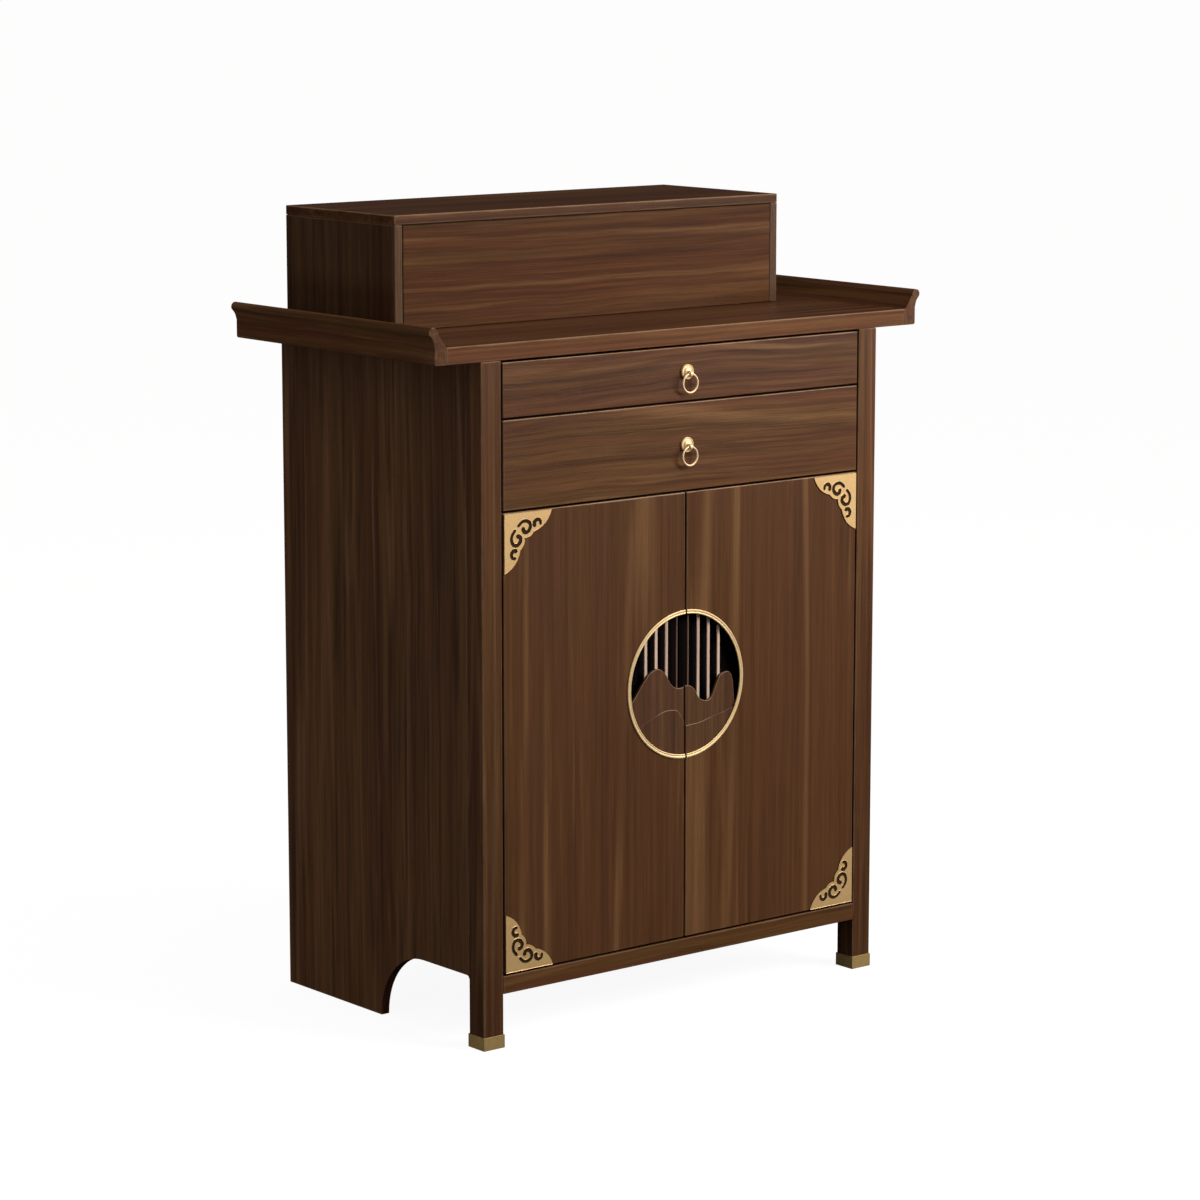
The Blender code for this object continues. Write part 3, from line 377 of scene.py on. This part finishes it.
def finish_with(obj, material):
    """Puts one material on a whole piece."""
    if obj.material_slots:
        for place in obj.material_slots:
            place.material = material
    else:
        obj.data.materials.append(material)


def finish_walnut(nodes, name, grain, shift, **looks):
    """Puts its own walnut on one board of the frame."""
    low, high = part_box(name)
    finish_with(nodes[name], walnut("walnut " + name.replace("_", " "), low, high, grain, shift, **looks))


def finish_boards(nodes):
    """Walnut for the drawers, doors, carcass, top and riser."""
    drawer = dict(band=0.026, wave=0.007, wave_length=0.5, lines=0.75, fine=0.5, tan_share=0.5, dark_share=0.55,
                  edge=0.0017, edge_color=EDGE_PALE_HIGHLIGHT, edge_share=0.7, side_share=0.25, lower_share=0.1,
                  olive=(0.106, 0.045, 0.0135, 1), red=(0.100, 0.035, 0.0125, 1), gloss=0.17)
    finish_walnut(nodes, "upper_drawer_front", LEVEL, (0.31, 0.0, 0.7), **drawer)
    finish_walnut(nodes, "lower_drawer_front", LEVEL, (1.62, 0.0, 3.1), **drawer)
    door = dict(band=0.040, wave=0.002, wave_length=0.8, lines=0.36, fine=0.3, tan_share=0.52, edge=0.0017,
                edge_color=EDGE_PALE_HIGHLIGHT, edge_share=0.85, side_share=0.2, lower_share=0.1,
                olive=(0.092, 0.038, 0.0130, 1), red=(0.089, 0.0345, 0.0130, 1), dark_share=0.45)
    finish_walnut(nodes, "door_board_left", UPRIGHT, (0.12, 0.0, 5.3), **door)
    finish_walnut(nodes, "door_board_right", UPRIGHT, (2.75, 0.0, 1.9), **door)
    # The posts darken toward their feet as painted shade.
    post = dict(band=0.014, wave=0.0012, wave_length=0.9, lines=0.5, fine=0.35, tan_share=0.6, edge=0.0018,
                edge_share=0.7, gloss=0.15, olive=(0.106, 0.045, 0.0155, 1), red=(0.099, 0.0355, 0.0138, 1),
                tan=(0.18, 0.085, 0.034, 1), foot=(0.66, 0.66, 0.68, 1))
    finish_walnut(nodes, "front_post_left", UPRIGHT, (6.2, 0.3, 0.9), **post)
    finish_walnut(nodes, "front_post_right", UPRIGHT, (6.9, 1.3, 2.1), **post)
    finish_walnut(nodes, "bottom_rail", LEVEL, (7.4, 0.2, 1.0), band=0.02, edge_share=0.4, tan_share=0.3)
    side = dict(band=0.020, wave=0.003, wave_length=0.7, lines=0.6, fine=0.35, olive=(0.112, 0.052, 0.020, 1),
                red=(0.088, 0.036, 0.015, 1), dark=(0.030, 0.014, 0.007, 1), tan=(0.19, 0.09, 0.045, 1),
                dark_share=0.6, tan_share=0.5, edge_share=0.4)
    finish_walnut(nodes, "side_panel_left", UPRIGHT_SIDE, (8.1, 0.0, 0.3), **side)
    finish_walnut(nodes, "side_panel_right", UPRIGHT_SIDE, (8.9, 0.5, 2.3), **side)
    upper = dict(side, olive=(0.078, 0.036, 0.014, 1), red=(0.062, 0.025, 0.011, 1), tan=(0.13, 0.062, 0.03, 1))
    finish_walnut(nodes, "riser_side_left", UPRIGHT_SIDE, (9.7, 0.0, 4.3), **upper)
    finish_walnut(nodes, "riser_side_right", UPRIGHT_SIDE, (9.9, 0.5, 6.3), **upper)
    # The riser front's edges darken as painted shade, fullest under the riser top; its tone is darker than the
    # drawers', partly its own and partly painted shade.
    finish_walnut(nodes, "riser_front", LEVEL, (10.2, 0.1, 1.4), band=0.028, wave=0.006, lines=0.6, fine=0.45,
                  tan_share=0.35, olive=(0.088, 0.037, 0.012, 1), red=(0.082, 0.028, 0.010, 1), gloss=0.05,
                  edge=0.0026, edge_share=1.0, side_share=0.5, lower_share=0.3, edge_color=SEAM_SHADE)
    finish_walnut(nodes, "riser_back", LEVEL, (11.2, 0.1, 1.4), band=0.03, edge_share=0.2)
    finish_walnut(nodes, "back_panel", UPRIGHT, (12.2, 0.1, 1.4), band=0.045, edge_share=0.2)
    top = dict(band=0.035, wave=0.004, wave_length=0.6, olive=(0.085, 0.034, 0.012, 1),
               red=(0.068, 0.022, 0.009, 1), tan=(0.15, 0.065, 0.026, 1), tan_share=0.4, edge=0.0024, lines=0.6,
               gloss=0.08)
    finish_walnut(nodes, "tabletop", FLAT, (13.1, 0.0, 0.4), lip=(1.6, 1.65, 1.7, 1), **top)
    finish_walnut(nodes, "riser_top", FLAT, (14.1, 0.0, 2.4), **top)
    for number, name in enumerate(("cupboard_floor", "cupboard_ceiling", "drawer_divider")):
        finish_walnut(nodes, name, FLAT, (16.0 + number, 0.0, 0.6 * number), band=0.05, rough=0.55)


def make_fittings(nodes):
    """The finer pieces: window bands, pulls, corner plates, mountains and the tabletop's upturned ends."""
    make_window_bands(brass("brass window band", (0.94, 0.67, 0.34, 1), (0.62, 0.40, 0.18, 1), tarnish=0.25,
                            metal_share=0.5))
    make_pulls(brass("brass pulls", (1.0, 0.73, 0.42, 1), (0.68, 0.41, 0.18, 1), tarnish=0.35, rough=0.4,
                     metal_share=0.35))
    # Painted shadow for the plates' piercings and the line round them.
    plate_shadow = brass("painted plate shadow", (0.042, 0.022, 0.009, 1), (0.018, 0.009, 0.004, 1), rough=0.7, metal_share=0.0,
                   gloss=0.05)
    make_corner_plates(nodes, brass("brass corner plates", (0.88, 0.57, 0.25, 1), (0.54, 0.32, 0.13, 1),
                                    speckle=0.4), plate_shadow)
    relief = dict(band=0.03, wave=0.002, olive=(0.096, 0.044, 0.019, 1), red=(0.080, 0.033, 0.017, 1), lines=0.55,
                  fine=0.45, dark_share=0.3, tan_share=0.15, edge_share=0.0, bump=0.5)
    # Painted highlight for the crests and hill lines, and painted shade for the step over the hill.
    light = dict(olive=CREST_HIGHLIGHT, red=CREST_HIGHLIGHT, dark=(0.12, 0.07, 0.042, 1), tan=(0.26, 0.17, 0.11, 1),
                 edge_share=0.0)
    dark = dict(olive=DARK_BROWN, red=DARK_BROWN, dark=(0.02, 0.008, 0.004, 1), tan=DARK_BROWN, edge_share=0.0)
    low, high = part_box("mountain_relief_left")
    woods = {word: walnut("walnut mountains " + word, low, high, UPRIGHT, shift, **relief)
             for word, shift in (("left", (4.1, 0.0, 0.4)), ("right", (4.4, 0.0, 2.4)))}
    make_mountains(nodes, woods, walnut("walnut crest highlight", low, high, LEVEL, (5, 0, 0), **light),
                   walnut("walnut shaded step", low, high, LEVEL, (5, 0, 0), **dark))
    ends = dict(band=0.012, wave=0.0015, lines=0.6, fine=0.4, tan_share=0.4, edge=0.0016, edge_share=0.6)
    make_end_mouldings(nodes, {word: walnut("walnut upturned end " + word, *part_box("end_moulding_" + word), DEEP,
                                            shift, **ends)
                               for word, shift in (("left", (15.1, 0.0, 0.8)), ("right", (15.6, 0.0, 1.8)))})


def finish_fittings(nodes):
    """Brass, the window's backing and slats, and the drawer boxes."""
    cap = brass("brass foot caps", (0.62, 0.42, 0.16, 1), (0.36, 0.22, 0.08, 1), tarnish=0.5, brush=0.6)
    for name in nodes:
        if name.startswith(("foot_cap", "hinge")):
            finish_with(nodes[name], cap)
    pale = dict(olive=(0.62, 0.45, 0.33, 1), red=(0.56, 0.38, 0.29, 1), dark=(0.42, 0.27, 0.19, 1),
                tan=(0.68, 0.52, 0.38, 1), band=0.006, lines=0.3, dark_share=0.2, edge_share=0.0, rough=0.5,
                gloss=0.08)
    brown = dict(pale, olive=(0.16, 0.092, 0.062, 1), red=(0.14, 0.078, 0.050, 1), dark=(0.09, 0.048, 0.030, 1),
                 tan=(0.20, 0.12, 0.08, 1))
    for name in nodes:
        if name.startswith("window_slat"):
            finish_walnut(nodes, name, UPRIGHT, (20.0, 0.3, 0.0), **(brown if name.endswith("1") else pale))
    black = dict(olive=(0.0035, 0.0022, 0.0028, 1), red=(0.0045, 0.0020, 0.0018, 1), dark=(0.002, 0.001, 0.001, 1),
                 tan=(0.006, 0.003, 0.0025, 1), edge_share=0.0, rough=0.7, gloss=0.03)
    for name in ("window_tray_left", "window_tray_right"):
        finish_walnut(nodes, name, UPRIGHT, (21.0, 0.3, 0.0), **black)
    box = dict(olive=(0.45, 0.31, 0.18, 1), red=(0.42, 0.26, 0.15, 1), dark=(0.30, 0.18, 0.09, 1),
               tan=(0.52, 0.38, 0.24, 1), band=0.03, lines=0.35, dark_share=0.3, tan_share=0.4, rough=0.55,
               edge_color=(0.55, 0.42, 0.28, 1), edge_share=0.4)
    for number, word in enumerate(("upper", "lower")):
        finish_walnut(nodes, word + "_drawer_bottom", FLAT, (22.0 + number, 0.0, 0.4), **box)
        finish_walnut(nodes, word + "_drawer_back", LEVEL, (24.0 + number, 0.0, 0.4), **box)
        finish_walnut(nodes, word + "_drawer_side_left", DEEP, (26.0 + number, 0.0, 0.4), **box)
        finish_walnut(nodes, word + "_drawer_side_right", DEEP, (28.0 + number, 0.0, 0.4), **box)


def copied(node):
    """A copy of a node's mesh, merged, with its flat faces whole again."""
    bm = bmesh.new()
    bm.from_mesh(node.data)
    bmesh.ops.remove_doubles(bm, verts=bm.verts, dist=1e-6)
    bmesh.ops.dissolve_limit(bm, angle_limit=math.radians(0.5), verts=bm.verts, edges=bm.edges)
    return bm


def join(bm, other):
    """Adds one mesh to another and frees it."""
    mesh = bpy.data.meshes.new("part")
    other.to_mesh(mesh)
    other.free()
    bm.from_mesh(mesh)
    bpy.data.meshes.remove(mesh)


def new_piece(name, bm, body, slot, materials, *nodes, sharp=SHARP):
    """A finished piece that moves with its body and stands for the plain solids of its nodes."""
    bmesh.ops.recalc_face_normals(bm, faces=bm.faces)
    mesh = bpy.data.meshes.new(name)
    bm.to_mesh(mesh)
    bm.free()
    if sharp:
        mesh.shade_smooth()
        mesh.set_sharp_from_angle(angle=sharp)
    else:
        mesh.shade_flat()
    piece = bpy.data.objects.new(name, mesh)
    bpy.context.scene.collection.objects.link(piece)
    for material in materials:
        mesh.materials.append(material)
    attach(piece, body)
    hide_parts(*nodes)


def spun(bm, edges, middle, axis, angle, steps):
    """Turns edges round an axis, joined up after a full turn."""
    ends = {vert for edge in edges for vert in edge.verts}
    bmesh.ops.spin(bm, geom=list(ends) + edges, cent=middle, axis=axis, angle=angle, steps=steps,
                   use_merge=angle == FULL_TURN)
    bmesh.ops.remove_doubles(bm, verts=bm.verts, dist=1e-6)


def chain(bm, places, closed=False):
    """Edges through a few places in turn."""
    verts = [bm.verts.new(place) for place in places]
    pairs = list(zip(verts, verts[1:]))
    if closed:
        pairs.append((verts[-1], verts[0]))
    return [bm.edges.new(pair) for pair in pairs]


def close_ends(bm):
    """Caps on every open end."""
    bmesh.ops.holes_fill(bm, edges=[edge for edge in bm.edges if edge.is_boundary], sides=0)


def make_window_bands(metal):
    """The round window's brass band, with a fine groove along it and a half on each door."""
    for word, side in (("left", -1), ("right", 1)):
        node = "window_ring_" + word
        low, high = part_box(node)
        radius, middle_z, back_y = (high.z - low.z) / 2, (high.z + low.z) / 2, high.y
        places = [(0, back_y - lift * (high.y - low.y), middle_z + radius - inward * BAND_WIDTH)
                  for inward, lift in BAND_PROFILE]
        bm = bmesh.new()
        spun(bm, chain(bm, places, closed=True), (0, 0, middle_z), (0, 1, 0), FULL_TURN, BAND_STEPS)
        seam_x = high.x if side < 0 else low.x
        bmesh.ops.bisect_plane(bm, geom=bm.verts[:] + bm.edges[:] + bm.faces[:], plane_co=(seam_x, 0, 0),
                               plane_no=(side, 0, 0), clear_inner=True)
        close_ends(bm)
        new_piece("window_band_" + word, bm, word + "_door", "brass", [metal], node)


def make_pulls(metal):
    """Turned rosettes, each with a staple eye, and the wire rings that hang in them."""
    for word in ("upper", "lower"):
        low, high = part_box(word + "_rosette")
        radius, middle_z = (high.z - low.z) / 2, (high.z + low.z) / 2
        bm = bmesh.new()
        places = [(share * radius, high.y - lift, middle_z) for share, lift in ROSETTE_PROFILE]
        spun(bm, chain(bm, places), (0, 0, middle_z), (0, 1, 0), FULL_TURN, ROUND_STEPS)
        eye = Vector((0, low.y + EYE_RADIUS, middle_z - EYE_DROP))
        strap = [eye + Vector((x, 0, z)) for x, z in ((-EYE_WIDTH / 2, EYE_HOLE), (EYE_WIDTH / 2, EYE_HOLE),
                                                     (EYE_WIDTH / 2, EYE_RADIUS), (-EYE_WIDTH / 2, EYE_RADIUS))]
        staple = bmesh.new()
        spun(staple, chain(staple, strap, closed=True), eye, (1, 0, 0), math.pi, ROUND_STEPS // 4)
        legs = bmesh.ops.extrude_edge_only(staple, edges=[edge for edge in staple.edges if edge.is_boundary])
        ends = [part for part in legs["geom"] if isinstance(part, bmesh.types.BMVert)]
        bmesh.ops.translate(staple, verts=ends, vec=(0, EYE_ROOT, 0))
        close_ends(staple)
        rims = [edge for edge in staple.edges if edge.is_manifold and edge.calc_face_angle() > SHARP]
        bmesh.ops.bevel(staple, geom=rims, offset=SOFT_EDGE, segments=3, profile=0.5, affect="EDGES", material=-1)
        join(bm, staple)
        new_piece(word + "_pull_rosette", bm, word + "_drawer", "brass", [metal], word + "_rosette")

        low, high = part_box(word + "_pull_ring")
        wire, middle_z = (high.y - low.y) / 2, (high.z + low.z) / 2
        middle = Vector((0, (high.y + low.y) / 2, middle_z))
        section = Matrix.Translation(middle + Vector((0, 0, (high.z - low.z) / 2 - wire)))
        bm = bmesh.new()
        bmesh.ops.create_circle(bm, segments=WIRE_SIDES, radius=wire, matrix=section @ Matrix.Rotation(
            math.pi / 2, 4, "Y"))
        spun(bm, bm.edges[:], middle, (0, 1, 0), FULL_TURN, ROUND_STEPS)
        new_piece(word + "_pull_wire", bm, word + "_pull", "brass", [metal], word + "_pull_ring")


def outer_walls(bm, side):
    """The walls of a plate's own outline, apart from those of its piercings."""
    bm.normal_update()
    walls = {face for face in bm.faces if abs(face.normal.y) < 0.5}
    reach = [max(walls, key=lambda face: side * face.calc_center_median().x)]
    found = set(reach)
    while reach:
        near = {other for edge in reach.pop().edges for other in edge.link_faces} & walls - found
        found |= near
        reach.extend(near)
    return found, walls - found


def make_corner_plates(nodes, metal, plate_shadow):
    """Pierced plates with a raised rim, each set on a dark sheet a little wider than itself; the sheet and the
    piercings' walls are painted shadow.
    """
    for word, side in (("left", -1), ("right", 1)):
        for level in ("lower", "upper"):
            name = "corner_plate_" + word + "_" + level
            low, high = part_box(name)
            bm = copied(nodes[name])
            # The piercings' walls take the painted shadow.
            for face in outer_walls(bm, side)[1]:
                face.material_index = 1
            front = [face for face in bm.faces if face.normal.y < -0.5]
            bmesh.ops.inset_region(bm, faces=front, thickness=PLATE_RIM, depth=-PLATE_SUNK, use_even_offset=True,
                                   use_boundary=True)
            field = {vert for face in front for vert in face.verts}
            for vert in field:
                for edge in vert.link_edges:
                    outer = edge.other_vert(vert)
                    across = Vector((vert.co.x - outer.co.x, 0, vert.co.z - outer.co.z))
                    if outer not in field and across.length > LONGEST_RIM * PLATE_RIM:
                        across.length = LONGEST_RIM * PLATE_RIM
                        vert.co = Vector((outer.co.x + across.x, vert.co.y, outer.co.z + across.z))
            # A dark sheet of painted shadow, a little wider than the plate, behind it.
            shadow_sheet = copied(nodes[name])
            found = outer_walls(shadow_sheet, side)[0]
            bmesh.ops.delete(shadow_sheet, geom=[face for face in shadow_sheet.faces if face not in found], context="FACES")
            shadow_sheet.normal_update()
            corner = Vector((side * max(abs(low.x), abs(high.x)), 0, high.z if level == "upper" else low.z))
            for vert in shadow_sheet.verts:
                apart = vert.co - corner
                out = Vector((vert.normal.x, 0, vert.normal.z)).normalized()
                depth = SHADOW_BACK if vert.co.y > (low.y + high.y) / 2 else SHADOW_FRONT
                if min(abs(apart.x), abs(apart.z)) > SHADOW_LINE:
                    vert.co += out * SHADOW_LINE
                vert.co.y = high.y + depth
            close_ends(shadow_sheet)
            for face in shadow_sheet.faces:
                face.material_index = 1
            join(bm, shadow_sheet)
            new_piece("pierced_plate_" + word + "_" + level, bm, word + "_door", "brass", [metal, plate_shadow], name,
                      sharp=0)


def make_mountains(nodes, woods, crest, shade):
    """The window's mountains, with painted highlight on their rounded crests and painted shade in a dark line over
    the hill in front.
    """
    low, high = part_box("window_ring_left")
    middle_z = (low.z + high.z) / 2
    for word in ("left", "right"):
        name = "mountain_relief_" + word
        low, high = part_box(name)
        rim = middle_z - low.z - RIM_NEAR
        bm = copied(nodes[name])
        bm.normal_update()

        def crest_edge(edge):
            first, second = edge.verts
            at_seam = max(abs(first.co.x), abs(second.co.x)) < SEAM_NEAR
            at_rim = min((vert.co - Vector((0, vert.co.y, middle_z))).length for vert in (first, second)) > rim
            fronts = [face for face in edge.link_faces if face.normal.y < -0.9]
            return len(fronts) == 1 and edge.is_convex and not at_seam and not at_rim

        # The step above the hill in front takes the painted shade.
        for face in bm.faces:
            is_step = abs(face.normal.y) < 0.5 and face.normal.z > 0.2
            if is_step and max(vert.co.y for vert in face.verts) < high.y - GROUND_NEAR:
                face.material_index = 2
        crests = [edge for edge in bm.edges if crest_edge(edge)]
        rounded = bmesh.ops.bevel(bm, geom=crests, offset=CREST_ROUND, segments=2, profile=0.5, affect="EDGES",
                                  material=-1)
        # The ridge's rounding and the hill lines near the seam take the painted highlight.
        for face in rounded["faces"]:
            middle = face.calc_center_median()
            on_ridge = middle.y > low.y + CREST_ROUND
            face.material_index = 1 if on_ridge or abs(middle.x) < HILL_LINES[word] else 0
        new_piece("mountains_" + word, bm, word + "_door", "walnut_front", [woods[word], crest, shade], name,
                  sharp=RELIEF_SHARP)


def make_end_mouldings(nodes, woods):
    """The upturned ends of the tabletop, smooth along their hollow and softened at their front and back ends."""
    for word in ("left", "right"):
        name = "end_moulding_" + word
        low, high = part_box(name)
        bm = copied(nodes[name])
        ends = [edge for edge in bm.edges
                if len({vert.co.y > 0 for vert in edge.verts}) == 1 and edge.calc_face_angle(0) > 1]
        bmesh.ops.bevel(bm, geom=ends, offset=SOFT_EDGE, segments=2, profile=0.5, affect="EDGES", material=-1)
        new_piece("upturned_end_" + word, bm, "cabinet", "walnut_front", [woods[word]], name,
                  sharp=MOULDING_SHARP)


def make_camera():
    """The photograph's view of the cabinet."""
    lens = bpy.data.cameras.new("camera")
    lens.lens, lens.sensor_width = CAMERA_LENS, SENSOR_WIDTH
    lens.clip_start, lens.clip_end = 0.1, 500
    camera = bpy.data.objects.new("camera", lens)
    bpy.context.scene.collection.objects.link(camera)
    flat = math.cos(CAMERA_PITCH)
    ahead = Vector((math.sin(CAMERA_YAW) * flat, math.cos(CAMERA_YAW) * flat, math.sin(CAMERA_PITCH)))
    camera.location = CAMERA_PLACE
    camera.rotation_euler = ahead.to_track_quat("-Z", "Y").to_euler()
    bpy.context.scene.camera = camera


def make_floor():
    """A wide pale floor. It throws back less light than it shows, so that the shaded side stays dark."""
    bm = bmesh.new()
    bmesh.ops.create_circle(bm, cap_ends=True, segments=96, radius=FLOOR_RADIUS)
    mesh = bpy.data.meshes.new("floor")
    bm.to_mesh(mesh)
    bm.free()
    floor = bpy.data.objects.new("floor", mesh)
    bpy.context.scene.collection.objects.link(floor)
    material = bpy.data.materials.new("pale floor")
    material.use_nodes = True
    tree = material.node_tree
    tree.nodes.clear()
    lit = add(tree, "ShaderNodeBsdfDiffuse", {"Color": (0.14, 0.14, 0.14, 1)})
    glow = add(tree, "ShaderNodeEmission", {"Color": (0.93, 0.93, 0.93, 1)})
    seen = add(tree, "ShaderNodeAddShader", {0: lit.outputs[0], 1: glow.outputs[0]})
    bounced = add(tree, "ShaderNodeBsdfDiffuse", {"Color": (0.07, 0.07, 0.07, 1)})
    path = add(tree, "ShaderNodeLightPath")
    both = add(tree, "ShaderNodeMixShader", {0: path.outputs["Is Camera Ray"], 1: bounced.outputs[0],
                                             2: seen.outputs[0]})
    add(tree, "ShaderNodeOutputMaterial", {"Surface": both.outputs[0]})
    finish_with(floor, material)


def area_light(name, place, target, width, height, power):
    """A softbox at a place, turned to a target."""
    lamp = bpy.data.lights.new(name, "AREA")
    lamp.shape, lamp.size, lamp.size_y, lamp.energy = "RECTANGLE", width, height, power
    obj = bpy.data.objects.new(name, lamp)
    bpy.context.scene.collection.objects.link(obj)
    obj.location = place
    obj.rotation_euler = (Vector(target) - Vector(place)).to_track_quat("-Z", "Y").to_euler()


def make_light():
    """Softboxes at the front and the right, a weak one overhead, a faint fill low on the left, and a dim surround.

    The surround is white to the camera, dim where it lights wood, and nearly black where it would be mirrored."""
    scene = bpy.context.scene
    scene.view_settings.view_transform = "Standard"
    world = bpy.data.worlds.new("surround")
    scene.world = world
    world.use_nodes = True
    tree = world.node_tree
    tree.nodes.clear()
    path = add(tree, "ShaderNodeLightPath")
    gleam = add(tree, "ShaderNodeBackground", {"Color": (0.04, 0.04, 0.04, 1)})
    dim = add(tree, "ShaderNodeBackground", {"Color": (0.38, 0.37, 0.36, 1)})
    pale = add(tree, "ShaderNodeBackground", {"Color": (1.0, 1.0, 1.0, 1)})
    bounced = add(tree, "ShaderNodeMixShader", {0: path.outputs["Is Diffuse Ray"], 1: gleam.outputs[0],
                                                2: dim.outputs[0]})
    both = add(tree, "ShaderNodeMixShader", {0: path.outputs["Is Camera Ray"], 1: bounced.outputs[0],
                                             2: pale.outputs[0]})
    add(tree, "ShaderNodeOutputWorld", {"Surface": both.outputs[0]})
    area_light("front softbox", (1.2, -2.3, 1.9), (0, -0.2, 0.7), 1.2, 1.2, 62)
    area_light("right softbox", (2.2, -1.9, 1.35), (0.3, -0.2, 0.85), 0.8, 0.8, 11)
    area_light("right sheen", (2.1, -1.9, 1.15), (0.3, -0.2, 0.87), 0.6, 0.4, 9)
    area_light("overhead softbox", (0.2, -0.5, 3.4), (0, 0, 0.4), 2.2, 2.2, 20)
    area_light("left fill", (-1.9, 0.25, 0.35), (-0.33, 0.1, 0.4), 0.8, 0.5, 3.4)


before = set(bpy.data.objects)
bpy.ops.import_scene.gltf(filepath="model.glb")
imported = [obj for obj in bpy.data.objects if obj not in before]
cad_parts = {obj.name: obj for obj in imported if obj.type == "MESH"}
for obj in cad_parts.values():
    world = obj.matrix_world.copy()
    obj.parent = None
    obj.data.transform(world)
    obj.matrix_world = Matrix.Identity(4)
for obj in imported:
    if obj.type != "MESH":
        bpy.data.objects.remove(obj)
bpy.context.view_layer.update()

GROUPS = {
    "figure": make_walnut_figure(), "edges": make_painted_edges(), "lacquer": make_satin_lacquer(),
    "metal": make_satin_metal(),
}
make_camera()
make_floor()
make_light()
finish_boards(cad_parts)
finish_fittings(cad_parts)
make_fittings(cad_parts)
